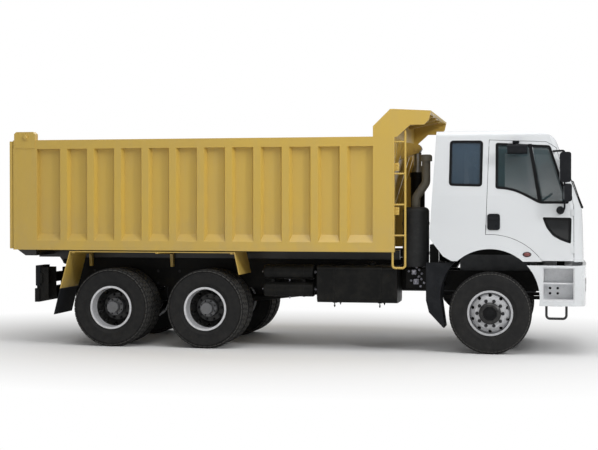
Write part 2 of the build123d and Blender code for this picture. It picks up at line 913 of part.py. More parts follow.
def nose_outline(rear, nose, half, corner, bulge, inset):
    start = nose - bulge - corner
    shoulder = half - corner
    r = corner - inset
    half = half - inset
    tip = start + r
    turn = r * math.sqrt(0.5)
    edges = [
        Line((rear, half), (rear, -half)),
        Line((rear, -half), (start, -half)),
        ThreePointArc((start, -half), (start + turn, -shoulder - turn), (tip, -shoulder)),
        ThreePointArc((tip, -shoulder), (nose - inset, 0), (tip, shoulder)),
        ThreePointArc((tip, shoulder), (start + turn, shoulder + turn), (start, half)),
        Line((start, half), (rear, half)),
    ]
    return make_face(edges)


def cab_end_outline(inset):
    r = 87 - inset
    eave = (1085, cab_top + 1 - 87)
    turn = r * math.sqrt(0.5)
    half = cab_half - inset
    right = [(half, 2080), (half, 1100)]
    left = [(-half, 1100), (-half, 2080)]
    edges = [
        Line((-eave[0], eave[1] + r), (eave[0], eave[1] + r)),
        ThreePointArc((eave[0], eave[1] + r), (eave[0] + turn, eave[1] + turn), (eave[0] + r, eave[1])),
        Polyline((eave[0] + r, eave[1]), *right, *left, (-eave[0] - r, eave[1])),
        ThreePointArc((-eave[0] - r, eave[1]), (-eave[0] - turn, eave[1] + turn), (-eave[0], eave[1] + r)),
    ]
    return make_face(edges)


def cab_form(inset):
    plan = nose_outline(3500, screen_foot[0] + 25, cab_half, 185, 26, inset)
    rise = 1100
    lower = extrude(Plane.XY.offset(screen_foot[1]) * plan, amount=-rise, dir=(-front_lean, 0, 1))
    upper = extrude(Plane.XY.offset(screen_foot[1]) * plan, amount=rise, dir=(-screen_lean, 0, 1))
    slab = side_prism(cab_side_outline(inset), (-cab_half, cab_half))
    tunnel = extrude(Plane.YZ.offset(4000) * cab_end_outline(inset), amount=3000)
    return (lower + upper) & slab & tunnel


def fender_region(gap):
    x, z = arch_centre
    low = 1100
    high = fender_top + gap
    tail = outline([(4300, low), (4300, high), (door_rear_x, high), (door_rear_x, low)])
    cheek = Pos(x, z) * Circle(fender_r + gap) & outline(
        [(door_rear_x, low), (door_rear_x, 1700), (5900, 1700), (5900, low)]
    )
    return tail + cheek


def door_outline(gap):
    points = [
        (door_rear_x, 1230),
        (door_rear_x, fender_top),
        (5183, cab_top - 123),
        (5916, cab_top - 153),
        (6045, cab_top - 230),
        (door_axis[0] - 5, 1950),
        (door_axis[0], 1230),
    ]
    return outline(shrunk(points, gap)) - fender_region(gap)


def door_windows():
    main = make_face([
        Polyline(
            (5285, window_top - 35), (5960, window_top - 73), (6150, 2150), (6195, 1992), (5835, 1992)
        ),
        ThreePointArc((5835, 1992), (5690, 2066), (5520, 2146)),
        Polyline((5520, 2146), (5285, 2180), (5285, window_top - 35)),
    ])
    bar = outline([(5690, window_top + 10), (5728, window_top + 10), (5858, 1980), (5820, 1980)])
    kerb = make_face([
        Polyline((5885, 1785), (6225, 1778), (6218, 1475)),
        ThreePointArc((6218, 1475), (6010, 1566), (5885, 1785)),
    ])
    return (main - bar), kerb


def faces_prism(shape, y):
    return fused([side_prism(face, y) for face in shape.faces()])


def cab_pieces():
    outer, inner = cab_form(0), cab_form(cab_wall)
    shell = outer - inner
    shell = shell - block((4600, 6180), (cab_wall - cab_half, cab_half - cab_wall), (1100, 1290))
    shell = shell - block((6100, 6330), (-1000, 1000), (1100, 1290))
    pane = cab_form(12) - cab_form(22)
    arch = disc_y(arch_centre[0], arch_centre[1], arch_r, (-1400, 1400))
    door_zone = door_outline(0)
    main, kerb = door_windows()
    fender_zone = fender_region(0)
    roof_z = roof_seam
    back_x = 4560
    front_zone = [
        (door_axis[0], 1100),
        (door_axis[0], 1230),
        (door_axis[0] - 5, 1950),
        (6045, cab_top - 230),
        (6000, roof_z),
        (6600, roof_z),
        (6600, 1100),
    ]
    made = {}
    made["cab_roof"] = [shell & block((4000, 6600), (-1300, 1300), (roof_z, cab_top + 100))]
    walls = shell & block((4000, 6600), (-1300, 1300), (1100, roof_z))
    made["cab_back"] = [walls & block((4000, back_x), (-1300, 1300), (fender_top, roof_z))]
    made["cab_back"][0] = made["cab_back"][0] + (
        walls & block((4000, back_x), (cab_wall - cab_half, cab_half - cab_wall), (1100, fender_top + 1))
    )
    front_prism = side_plate(front_zone, (-1300, 1300))
    screen = cross_bar(screen_opening, (5600, 6600))
    grille_hole = block((6200, 6600), grille_y, grille_z)
    hinge_room = rod((*door_axis, 1100), (*door_axis, 2100), door_pin_r + 3)
    front = (walls & front_prism) - screen - grille_hole - hinge_room - mirrored(hinge_room)
    made["cab_front"] = [front]
    window = side_plate(quarter_window, right_side)
    side = walls & block((back_x, 6600), right_side, (1100, roof_z))
    side = side - front_prism - faces_prism(door_zone, right_side)
    side = side - faces_prism(fender_zone, right_side) - window
    side = side - block((door_rear_x, 6600), right_side, (1000, 1700))
    made["cab_sides"] = both(side)
    quarter = pane & window
    made["cab_glass"] = [pane & screen] + both(quarter)
    lip = disc_y(*arch_centre, arch_r + 45, (-cab_half - 15, -cab_half + cab_wall))
    zone = faces_prism(fender_zone, right_skin)
    fender = (walls & zone) + (lip & zone)
    made["cab_fenders"] = both(fender - arch - block((4000, 6600), right_side, (1000, cab_bottom)))
    slats = (cab_form(10) - cab_form(46)) & grille_hole
    cavity = cab_form(5) - cab_form(34)
    count = 5
    pitch = (grille_z[1] - grille_z[0] - 30) / count
    for k in range(count):
        z = grille_z[0] + 30 + pitch * k
        slot_y = (grille_y[0] + 40, grille_y[1] - 40)
        slats = slats - (cavity & block((6200, 6600), slot_y, (z, z + pitch - 28)))
    made["grille"] = [slats]
    glass_prisms = faces_prism(main, right_side) + faces_prism(kerb, right_side)
    leaf = (shell & faces_prism(door_outline(panel_gap), right_side)) - glass_prisms
    barrels = [rod((*door_axis, z - 45), (*door_axis, z + 45), door_pin_r) for z in (1380, 1860)]
    strap_x = (door_axis[0] - 40, door_axis[0] - panel_gap)
    strap_y = (-cab_half - 5, -cab_half + 12)
    straps = [block(strap_x, strap_y, (z - 40, z + 40)) for z in (1380, 1860)]
    leaf = fused([leaf] + barrels + straps)
    panes = (pane & glass_prisms).solids().sort_by(Axis.X)
    made["door_right"] = [leaf]
    made["door_left"] = [mirrored(leaf)]
    made["door_glass_right"] = list(panes)
    made["door_glass_left"] = [mirrored(piece) for piece in panes]
    desk = side_plate(
        [(5960, 1500), (5905, 1840), (5985, 1935), (6320, 1950), (6380, 1700), (6380, 1480), (6250, 1480)],
        (-1120, 1120),
    )
    column = rod((6050, 620, 1640), (5800, 620, 1982), 35)
    tilt = Plane(origin=(5800, 620, 1982), z_dir=(-238, 0, 326))
    ring = tilt * revolve(
        make_face(Plane.XZ * (Pos(225, 0) * RegularPolygon(17, 6))), Axis.Z
    )
    spokes = tilt * fused([Box(440, 40, 14), Cylinder(60, 30)])
    made["dashboard"] = [fused([(desk & inner), column, ring, spokes])]
    return made


def cab_floor():
    deck = side_plate(
        [
            (4490, 1480),
            (5660, 1480),
            (5780, 1320),
            (6330, 1320),
            (6330, 1278),
            (5755, 1278),
            (5640, 1440),
            (4490, 1440),
        ],
        (cab_wall - cab_half, cab_half - cab_wall),
    )
    hollow = block((4400, tunnel_front - 40), (-380, 380), (1200, tunnel_top - 40))
    cover = block((4400, tunnel_front), (-420, 420), (1280, tunnel_top))
    deck = ((deck + cover) & cab_form(cab_wall)) - hollow
    swing = block(
        (door_axis[0] - door_swing_room, door_axis[0] + 20), (-1300, door_swing_room - cab_half), (1200, 1400)
    )
    deck = deck - swing - mirrored(swing)
    legs = []
    for side in (-1, 1):
        y = sorted((side * (rail_y + 10), side * (rail_y + 45)))
        leg = side_plate(
            [
                (6265, 895),
                (6330, 895),
                (6335, 950),
                (6160, 1120),
                (6160, 1290),
                (6060, 1290),
                (6060, 1100),
                (6262, 915),
            ],
            y,
        )
        legs.append(leg - disc_y(*cab_pivot, cab_pivot_r + running_gap, (-600, 600)))
    return [fused([deck] + legs)]


def seats():
    made = []
    for y in (-620, 620):
        cushion = block((4990, 5490), (y - 250, y + 250), (1800, 1930))
        back = side_plate([(4960, 1860), (5080, 1860), (4990, 2520), (4880, 2520)], (y - 240, y + 240))
        head = side_plate([(4885, 2510), (4985, 2510), (4970, 2690), (4885, 2690)], (y - 140, y + 140))
        foot = block((5060, 5400), (y - 170, y + 170), (1480, 1810))
        made.append(fused([cushion, back, head, foot]))
    return made


def door_fittings(kerb_mirror):
    post = tube_run(
        [(6005, -1178, 2655), (6150, -1330, 2655), (6150, -1330, 1900), (6105, -1217, 1888)], 13, 40
    )
    shells = (
        # centre x, centre z, depth, width, height
        (6161, 2442, 138, 215, 382),
        (6192, 2117, 96, 205, 228),
    )
    foot = Pos(6098, -cab_half - 28, 1890) * Sphere(52)
    pieces = [post, foot]
    for x, z, depth, width, height in shells:
        form = Pos(x, -1392, z) * Box(depth, width, height)
        pieces.append(fillet(form.edges().filter_by(Axis.Y), 32))
    skin = cab_form(0)
    made = [fused(pieces) - skin]
    grip = Pos(5247, -cab_half - 6, 1738) * Box(164, 12, 212)
    made.append(fillet(grip.edges().filter_by(Axis.Y), 35))
    if kerb_mirror:
        head = Pos(5552, -1330, 2678) * Box(252, 150, 118)
        stem = rod((5552, -1150, 2772), (5552, -1320, 2700), 14)
        made.append(fillet(head.edges().filter_by(Axis.X), 30) + stem - skin)
    return made


nodes = {}
shape_front = front_wheel()
shape_twin = twin_wheel()
for side, way in (("right", -1), ("left", 1)):
    for name, x in axle_x.items():
        tyres, rims = shape_front if name == "front" else shape_twin
        tyres = tyres if isinstance(tyres, list) else [tyres]
        out = front_wheel_y if name == "front" else twin_y
        place = Pos(x, out, tyre_r)
        placed = [place * piece for piece in tyres]
        rim = place * rims
        if way < 0:
            placed = [mirrored(piece) for piece in placed]
            rim = mirrored(rim)
        nodes[f"tyre_{name}_{side}"] = placed
        nodes[f"rim_{name}_{side}"] = [rim]
    nodes[f"knuckle_{side}"] = [knuckle() if way > 0 else mirrored(knuckle())]

nodes["frame_rails"] = frame_rails()
nodes["cross_members"] = cross_members()
nodes["subframe_rails"] = subframe_rails()
nodes["axles"] = axles()
nodes["leaf_springs"] = leaf_springs()
nodes["engine_block"] = engine_block()
nodes["prop_shafts"] = prop_shafts()
nodes["fuel_tank"] = fuel_tank()
nodes["air_tanks"] = air_tanks()
nodes["battery_box"] = battery_box()
nodes["air_intake"] = air_intake()
nodes["bumper"] = bumper()
nodes["headlamps"] = headlamps()
nodes["front_steps"] = front_steps()
nodes["wheel_liners"] = wheel_liners()
nodes["rear_mudguards"] = rear_mudguards()
nodes["rear_guard"] = rear_guard()
nodes["tail_lamps"] = tail_lamps()
for name, piece in hoist_pieces().items():
    nodes[name] = [piece]
nodes["bed_floor"] = bed_floor()
nodes["bed_sides"] = both(bed_side())
nodes["bed_front_wall"] = bed_front_wall()
nodes["cab_shield"] = cab_shield()
nodes["bed_ladder"] = bed_ladder()
nodes["tailgate"] = tailgate()
for name, pieces in cab_pieces().items():
    nodes[name] = pieces
nodes["cab_floor"] = cab_floor()
nodes["seats"] = seats()
nodes["door_fittings_right"] = door_fittings(True)
nodes["door_fittings_left"] = [mirrored(piece) for piece in door_fittings(False)]

os.makedirs("parts", exist_ok=True)
for name, pieces in nodes.items():
    whole = Compound(children=[Pos(frame_shift, 0, 0) * piece for piece in pieces])
    export_step(whole, f"parts/{name}.step")
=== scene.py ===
import math

import bmesh
import bpy
from mathutils import Matrix, Vector


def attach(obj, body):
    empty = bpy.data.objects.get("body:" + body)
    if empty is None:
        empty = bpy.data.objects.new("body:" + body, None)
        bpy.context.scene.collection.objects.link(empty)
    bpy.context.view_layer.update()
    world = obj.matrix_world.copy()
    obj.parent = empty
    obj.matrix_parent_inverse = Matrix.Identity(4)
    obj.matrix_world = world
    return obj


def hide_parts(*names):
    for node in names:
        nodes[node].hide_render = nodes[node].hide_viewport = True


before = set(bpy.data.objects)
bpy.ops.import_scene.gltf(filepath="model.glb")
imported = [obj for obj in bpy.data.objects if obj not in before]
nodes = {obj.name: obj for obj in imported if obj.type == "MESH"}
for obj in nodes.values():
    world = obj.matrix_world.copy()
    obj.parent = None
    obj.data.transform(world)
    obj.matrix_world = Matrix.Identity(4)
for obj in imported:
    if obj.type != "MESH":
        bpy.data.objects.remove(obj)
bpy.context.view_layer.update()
rearAxle = -2.49  # where the rear axle stands in the frame; places below count forward from it
axleX = {"front": 5.20, "mid": 1.35, "rear": 0.0}
wheelHigh = 0.54
ahead, aside = 5.0, 1.6  # clear of the truck's front and of its sides, where rays start
sides = {"right": -1, "left": 1}
# half width of the cab's side, which leans in above the waist
cabSkin = {"half": 1.220, "lean": 0.0624, "waist": 2.080}


def at(x, y, z):
    return Vector((x + rearAxle, y, z))


def put(x, y, z):
    return Matrix.Translation(at(x, y, z))


# shader helpers: plain expressions add their own Math nodes
def maths(operation, swapped=False):
    return lambda a, b: a.shade.sum(operation, *((b, a) if swapped else (a, b)))


class Val:
    def __init__(self, shade, socket):
        self.shade, self.socket = shade, socket

    __add__ = __radd__ = maths("ADD")
    __mul__ = __rmul__ = maths("MULTIPLY")
    __sub__, __rsub__ = maths("SUBTRACT"), maths("SUBTRACT", True)
    __truediv__, __pow__ = maths("DIVIDE"), maths("POWER")


class Shade:
    def __init__(self, name):
        self.mat = bpy.data.materials.new(name)
        self.mat.use_nodes = True
        self.tree = self.mat.node_tree
        self.body = self.tree.nodes["Principled BSDF"]
        self.where = None

    def node(self, kind, settings=None, out=0, sockets=None):
        made = self.tree.nodes.new(kind)
        for key, value in (settings or {}).items():
            setattr(made, key, value)
        for key, value in (sockets or {}).items():
            self.feed(made.inputs[key], value)
        return Val(self, made.outputs[out])

    def feed(self, socket, value):
        if isinstance(value, Val):
            self.tree.links.new(value.socket, socket)
        else:
            socket.default_value = value

    def sum(self, operation, a, b):
        return self.node("ShaderNodeMath", {"operation": operation}, sockets={0: a, 1: b})

    def clamp(self, value):
        return self.node("ShaderNodeClamp", sockets={"Value": value})

    def place(self):
        if self.where is None:
            self.where = self.node("ShaderNodeTexCoord", out=3)
        return self.where

    def axis(self, index):
        return self.node("ShaderNodeSeparateXYZ", out=index, sockets={0: self.place()})

    def noise(self, scale, detail=3.0, rough=0.5, stretch=(1, 1, 1)):
        spot = self.node("ShaderNodeMapping", sockets={"Vector": self.place(), "Scale": stretch})
        return self.node(
            "ShaderNodeTexNoise",
            sockets={"Vector": spot, "Scale": scale, "Detail": detail, "Roughness": rough},
        )

    def wave(self, along, scale):
        return self.node(
            "ShaderNodeTexWave",
            {"bands_direction": along},
            out=1,
            sockets={"Vector": self.place(), "Scale": scale},
        )

    def ramp(self, value, low, high):
        return self.node(
            "ShaderNodeMapRange", sockets={"Value": value, "From Min": low, "From Max": high}
        )

    # steps from 0 to 1 just under a level, or just past it going down
    def above(self, value, level, soft=0.002):
        return self.ramp(value, level - soft, level)

    def below(self, value, level, soft=0.002):
        return self.ramp(value, level, level - soft)

    def mix(self, factor, a, b):
        return self.node(
            "ShaderNodeMix", {"data_type": "RGBA"}, out=2, sockets={0: factor, 6: a, 7: b}
        )

    def bump(self, height, strength, distance):
        return self.node(
            "ShaderNodeBump",
            sockets={"Height": height, "Strength": strength, "Distance": distance},
        )

    def done(self, **values):
        for key, value in values.items():
            self.feed(self.body.inputs[key.replace("_", " ")], value)
        return self.mat


def rgb(r, g, b):
    return (r, g, b, 1)


def scaled(tint, r, g, b):
    return rgb(tint[0] * r, tint[1] * g, tint[2] * b)


# finishes
bodyYellow = {
    "paint": rgb(0.60, 0.405, 0.075),
    "faded": rgb(0.545, 0.375, 0.095),
    "dust": rgb(0.40, 0.32, 0.18),
    # near black below a level: real black rubber flaps on the mudguards, and painted shade under the bed
    # floor
    "under": rgb(0.016, 0.016, 0.017),
}


def makeBodyYellow(name, darkBelow):
    s = Shade(name)
    patch = s.ramp(s.noise(1.3, 4, 0.6), 0.35, 0.7)
    streak = s.ramp(s.noise(9, 3, 0.6, (1, 1, 0.12)), 0.5, 0.78)
    low = s.ramp(s.axis(2), 2.0, 1.3)
    grit = s.noise(55, 3, 0.6)
    dust = s.clamp(low * s.ramp(s.noise(3.2, 5, 0.7), 0.42, 0.75) * 0.35 + streak * 0.14)
    tint = s.mix(patch * 0.55, bodyYellow["paint"], bodyYellow["faded"])
    tint = s.mix(dust, tint, bodyYellow["dust"])
    # below darkBelow the paint turns near black: black rubber flaps on the mudguards, painted shade on
    # the bed floor's underside
    if darkBelow:
        tint = s.mix(s.below(s.axis(2), darkBelow), tint, bodyYellow["under"])
    peel = s.noise(420, 2, 0.5)
    return s.done(
        Base_Color=tint,
        Roughness=s.clamp(0.36 + dust * 0.35 + grit * 0.08),
        Coat_Weight=0.2,
        Coat_Roughness=0.25,
        Normal=s.bump(peel + patch * 0.5, 0.08, 0.002),
    )


cabWhite = {
    "paint": rgb(0.72, 0.74, 0.755),
    "shade": rgb(0.68, 0.705, 0.725),
    "dust": rgb(0.45, 0.43, 0.39),
    "lining": rgb(0.030, 0.031, 0.034),
    # the lined room inside the cab: wall depth, front, floor and roof, and the sloped back and screen
    "room": {
        "wall": 0.030, "front": 6.250, "floor": 1.45, "roof": 2.83,
        "back": (0.0662, 4.3523), "screen": (0.4, 7.076),
    },
}


def makeCabWhite():
    s = Shade("cabWhitePaint")
    patch = s.ramp(s.noise(0.9, 3, 0.5), 0.35, 0.7)
    low = s.ramp(s.axis(2), 1.2, 0.55)
    spots = s.ramp(s.noise(16, 4, 0.7), 0.62, 0.9)
    dust = s.clamp(low * s.ramp(s.noise(5, 5, 0.7), 0.4, 0.8) * 0.4 + spots * 0.05)
    tint = s.mix(patch * 0.6, cabWhite["paint"], cabWhite["shade"])
    tint = s.mix(dust, tint, cabWhite["dust"])
    room = cabWhite["room"]
    x, z = s.axis(0) - rearAxle, s.axis(2)
    out = s.sum("ABSOLUTE", s.axis(1), 0.0)
    depth = cabSkin["half"] - s.sum("MAXIMUM", z - cabSkin["waist"], 0.0) * cabSkin["lean"] - out
    lined = s.above(depth, room["wall"]) * s.below(x, room["front"])
    lined = lined * s.above(z, room["floor"]) * s.below(z, room["roof"])
    lean, edge = room["back"]
    lined = lined * s.above(x - z * lean, edge)
    lean, edge = room["screen"]
    lined = lined * s.below(x + z * lean, edge)
    tint = s.mix(lined, tint, cabWhite["lining"])
    peel = s.noise(500, 2, 0.5)
    return s.done(
        Base_Color=tint,
        Roughness=s.clamp(0.26 + dust * 0.4),
        Coat_Weight=0.6,
        Coat_Roughness=0.08,
        Normal=s.bump(peel, 0.04, 0.001),
    )


frameBlack = {"paint": rgb(0.006, 0.0062, 0.006), "dust": rgb(0.05, 0.046, 0.039), "shine": 0.12}


def makeFrameBlack(name, gloss):
    s = Shade(name)
    cake = s.ramp(s.noise(4.5, 5, 0.7), 0.42, 0.78)
    fine = s.noise(60, 4, 0.6)
    low = s.ramp(s.axis(2), 1.3, 0.35)
    dust = s.clamp(cake * (0.16 + low * 0.3) * (0.5 + fine))
    tint = s.mix(dust, frameBlack["paint"], frameBlack["dust"])
    return s.done(
        Base_Color=tint,
        Roughness=s.clamp(gloss + dust * 0.5 + fine * 0.1),
        Specular_IOR_Level=frameBlack["shine"],
        Normal=s.bump(fine + cake, 0.12, 0.003),
    )


plasticBlack = {"skin": rgb(0.0075, 0.0085, 0.0105), "worn": rgb(0.022, 0.023, 0.026), "shine": 0.16}


def makePlasticBlack():
    s = Shade("mouldedBlackPlastic")
    grain = s.node("ShaderNodeTexVoronoi", sockets={"Vector": s.place(), "Scale": 700.0})
    worn = s.ramp(s.noise(7, 5, 0.7), 0.45, 0.85)
    return s.done(
        Base_Color=s.mix(worn, plasticBlack["skin"], plasticBlack["worn"]),
        Roughness=s.clamp(0.5 + worn * 0.18 + grain * 0.1),
        Specular_IOR_Level=plasticBlack["shine"],
        Normal=s.bump(grain, 0.12, 0.0006),
    )


tyreRubber = {
    "rubber": rgb(0.0115, 0.0117, 0.0125),
    "worn": rgb(0.058, 0.057, 0.054),
    "dust": rgb(0.060, 0.057, 0.051),
    "shine": 0.2,
}


def makeTyreRubber(name, tint):
    s = Shade(name)
    fine = s.noise(90, 4, 0.6)
    cake = s.ramp(s.noise(9, 5, 0.7), 0.4, 0.8)
    low = s.ramp(s.axis(2), 1.1, 0.0)
    dust = s.clamp((cake * 0.35 + fine * 0.2) * (0.5 + low * 0.4))
    return s.done(
        Base_Color=s.mix(dust, tint, tyreRubber["dust"]),
        Roughness=s.clamp(0.66 + fine * 0.2),
        Specular_IOR_Level=tyreRubber["shine"],
        Normal=s.bump(fine, 0.2, 0.002),
    )


rimPaint = {
    "silver": rgb(0.68, 0.685, 0.705),
    "frontSilver": rgb(0.52, 0.525, 0.54),
    "dark": rgb(0.010, 0.0105, 0.0105),
    "grime": rgb(0.09, 0.085, 0.075),
    "hub": rgb(0.14, 0.142, 0.148),
    "hubBlack": rgb(0.008, 0.008, 0.0085),
}


# rings of colour round the axle: disc or barrel silver outside brightFrom, hub inside hubTo
def makeRim(name, middle, brightFrom, hubTo, silver, hubTint):
    s = Shade(name)
    x = s.axis(0) - (middle + rearAxle)
    z = s.axis(2) - wheelHigh
    radius = (x * x + z * z) ** 0.5
    bright = s.ramp(radius, brightFrom, brightFrom + 0.005)
    hubMask = s.ramp(radius, hubTo, hubTo - 0.006)
    grime = s.clamp(s.ramp(s.noise(24, 5, 0.7), 0.45, 0.8) * 0.4)
    tint = s.mix(bright, rimPaint["dark"], silver)
    tint = s.mix(hubMask, tint, hubTint)
    tint = s.mix(grime, tint, rimPaint["grime"])
    return s.done(
        Base_Color=tint,
        Metallic=s.clamp(bright * 0.35 - grime * 0.3),
        Roughness=s.clamp(0.36 + grime * 0.4),
        Normal=s.bump(s.noise(160, 3, 0.6), 0.08, 0.001),
    )


glassTintAndPaintedLight = {
    "film": rgb(0.055, 0.075, 0.095),
    # painted shade for the dark door foot seen through the lower pane
    "dark": rgb(0.006, 0.007, 0.008),
    # heights between which a painted reflection makes the top of a pane darker and less clear
    "band": (2.20, 2.72),
}


# below darkBelow a pane is painted dark and less clear: painted shade for the door's foot behind it
def makeGlass(name, tint, alpha, darkBelow):
    s = Shade(name)
    film = s.ramp(s.noise(3.0, 4, 0.6), 0.4, 0.8)
    low = s.below(s.axis(2), darkBelow)
    # painted reflection: panes grow darker and less clear towards the top
    band = s.ramp(s.axis(2), glassTintAndPaintedLight["band"][0], glassTintAndPaintedLight["band"][1])
    tint = s.mix(film * 0.5, tint, glassTintAndPaintedLight["film"])
    return s.done(
        Base_Color=s.mix(low, tint, glassTintAndPaintedLight["dark"]),
        Roughness=s.clamp(0.03 + film * 0.05),
        Alpha=s.clamp(alpha + film * 0.06 + band * 0.22 + low * 0.5),
        Coat_Weight=s.clamp(0.5 - low * 0.4),
        Specular_IOR_Level=0.5,
    )


def makeSteel(name, tint, rough, metallic=0.9, shine=0.5, brushed=(1, 1, 1)):
    s = Shade(name)
    lines = s.noise(130, 3, 0.6, brushed)
    stain = s.ramp(s.noise(6, 5, 0.7), 0.45, 0.85)
    return s.done(
        Base_Color=s.mix(stain * 0.5, tint, scaled(tint, 0.6, 0.58, 0.55)),
        Metallic=metallic,
        Roughness=s.clamp(rough + lines * 0.12 + stain * 0.15),
        Specular_IOR_Level=shine,
        Normal=s.bump(lines, 0.06, 0.0008),
    )


def makeLens(name, tint, rough):
    s = Shade(name)
    flutes = s.wave("Y", 18.0)
    haze = s.ramp(s.noise(12, 4, 0.6), 0.45, 0.8)
    return s.done(
        Base_Color=s.mix(haze * 0.3, tint, scaled(tint, 0.7, 0.7, 0.7)),
        Roughness=s.clamp(rough + haze * 0.1),
        Coat_Weight=0.8,
        Normal=s.bump(flutes, 0.12, 0.002),
    )


def makeCloth(name, tint):
    s = Shade(name)
    weave, cross = s.wave("X", 120.0), s.wave("Z", 120.0)
    worn = s.ramp(s.noise(8, 4, 0.6), 0.4, 0.8)
    return s.done(
        Base_Color=s.mix(worn * 0.5, tint, scaled(tint, 1.7, 1.7, 1.7)),
        Roughness=s.clamp(0.8 + weave * 0.1),
        Sheen_Weight=0.3,
        Normal=s.bump(weave + cross, 0.25, 0.0012),
    )


# two colours that meet at a level
def makeSplit(name, border, belowTint, aboveTint, rough, metallicAbove=0.0):
    s = Shade(name)
    above = s.ramp(s.axis(2), border - 0.001, border + 0.001)
    stain = s.ramp(s.noise(14, 5, 0.7), 0.45, 0.85)
    tint = s.mix(above, belowTint, aboveTint)
    return s.done(
        Base_Color=s.mix(stain * 0.25, tint, rgb(0.10, 0.10, 0.10)),
        Metallic=s.clamp(above * metallicAbove),
        Roughness=s.clamp(rough + stain * 0.15),
        Normal=s.bump(s.noise(140, 3, 0.6), 0.08, 0.001),
    )


yellow = makeBodyYellow("bodyYellowPaint", 0)
# the bed floor below its bottom rail is painted near black as painted shade
yellowOverPaintedShade = makeBodyYellow("bodyYellowOverPaintedShade", 1.333)
guardYellow = makeBodyYellow("mudguardYellow", 0.80)
white = makeCabWhite()
black = makeFrameBlack("frameBlackPaint", 0.42)
tankBlack = makeFrameBlack("tankBlackPaint", 0.30)
plastic = makePlasticBlack()
rubber = makeTyreRubber("tyreRubber", tyreRubber["rubber"])
wornRubber = makeTyreRubber("wornTreadRubber", tyreRubber["worn"])
cabGlass = makeGlass("cabGlass", rgb(0.045, 0.080, 0.118), 0.58, 0.5)
doorGlass = makeGlass("doorGlass", rgb(0.026, 0.060, 0.068), 0.44, 1.88)
frontRim = makeRim(
    "frontRimSilver", axleX["front"], 0.142, 0.140, rimPaint["frontSilver"], rimPaint["hubBlack"]
)
midRim = makeRim("midRimSilver", axleX["mid"], 0.262, 0.127, rimPaint["silver"], rimPaint["hub"])
backRim = makeRim("rearRimSilver", axleX["rear"], 0.262, 0.127, rimPaint["silver"], rimPaint["hub"])
chrome = makeSteel("hoistChrome", rgb(0.34, 0.345, 0.35), 0.30, brushed=(1, 1, 6))
alloySteps = makeSplit("stepAlloy", 0.70, rgb(0.016, 0.016, 0.017), rgb(0.76, 0.77, 0.785), 0.42, 0.2)
intakeGrey = makeSplit("intakeGrey", 1.93, rgb(0.010, 0.011, 0.012), rgb(0.13, 0.12, 0.095), 0.6)
iron = makeSteel("engineIron", rgb(0.13, 0.135, 0.14), 0.55)
nutSteel = makeSteel("nutSteel", rgb(0.030, 0.030, 0.032), 0.42, 0.3, 0.3)
castGrey = makeSteel("castGrey", rgb(0.36, 0.36, 0.41), 0.5, 0.35)
mirrorGlass = makeSteel("mirrorGlass", rgb(0.62, 0.65, 0.68), 0.02, 1.0)
trim = makeSteel("windowRubber", rgb(0.007, 0.0072, 0.008), 0.5, 0.0, 0.15)
clearLens = makeLens("headlampLens", rgb(0.20, 0.21, 0.22), 0.06)
lampChrome = makeSteel("lampChrome", rgb(0.74, 0.75, 0.76), 0.12, 0.85)
plateWhite = makeSteel("bareNumberPlate", rgb(0.62, 0.62, 0.60), 0.4, 0.0)
redLens = makeLens("redLens", rgb(0.38, 0.015, 0.012), 0.12)
amberLens = makeLens("amberLens", rgb(0.55, 0.16, 0.01), 0.12)
whiteLens = makeLens("whiteLens", rgb(0.6, 0.6, 0.58), 0.12)
markerLens = makeLens("markerLens", rgb(0.17, 0.03, 0.025), 0.15)
cloth = makeCloth("seatCloth", rgb(0.035, 0.037, 0.042))
print("finishes ready")

finishOf = {
    yellow: ["bed_sides", "bed_front_wall", "cab_shield", "bed_ladder", "tailgate"],
    yellowOverPaintedShade: ["bed_floor"],
    guardYellow: ["rear_mudguards"],
    white: ["bumper", "cab_back", "cab_roof", "cab_sides", "cab_front", "cab_fenders",
            "door_right", "door_left"],
    black: ["frame_rails", "cross_members", "subframe_rails", "axles", "leaf_springs", "prop_shafts",
            "rear_guard", "hoist_barrel", "cab_floor", "knuckle_right", "knuckle_left"],
    tankBlack: ["fuel_tank", "air_tanks"],
    plastic: ["battery_box", "wheel_liners", "grille", "dashboard", "door_fittings_right",
              "door_fittings_left", "tail_lamps"],
    intakeGrey: ["air_intake"],
    cabGlass: ["cab_glass"],
    doorGlass: ["door_glass_right", "door_glass_left"],
    chrome: ["hoist_stage_1", "hoist_stage_2", "hoist_stage_3", "hoist_stage_4"],
    alloySteps: ["front_steps"],
    iron: ["engine_block"],
    clearLens: ["headlamps"],
    cloth: ["seats"],
    frontRim: ["rim_front_right", "rim_front_left"],
    midRim: ["rim_mid_right", "rim_mid_left"],
    backRim: ["rim_rear_right", "rim_rear_left"],
    rubber: [name for name in nodes if name.startswith("tyre_")],
}
for finish, names in finishOf.items():
    for name in names:
        nodes[name].data.materials.clear()
        nodes[name].data.materials.append(finish)
print("nodes painted")


# modelling helpers
def painted(bm, paint):
    for face in bm.faces:
        face.material_index = paint
    return bm


def toMesh(bm, name):
    mesh = bpy.data.meshes.new(name)
    bm.to_mesh(mesh)
    bm.free()
    return mesh


def addObject(name, data):
    made = bpy.data.objects.new(name, data)
    bpy.context.collection.objects.link(made)
    return made


def cone(bm, segments, low, top, deep, matrix=Matrix()):
    bmesh.ops.create_cone(
        bm, cap_ends=True, segments=segments, radius1=low, radius2=top, depth=deep, matrix=matrix
    )


def spinRound(bm, geom, steps):
    bmesh.ops.spin(
        bm, geom=geom, axis=(0, 0, 1), cent=(0, 0, 0), angle=2 * math.pi, steps=steps, use_merge=True
    )
    bmesh.ops.remove_doubles(bm, verts=bm.verts[:], dist=0.00001)


def roundEdges(bm, edges, offset, segments):
    bmesh.ops.bevel(
        bm, geom=edges, offset=offset, affect="EDGES", segments=segments, profile=0.5, material=-1
    )


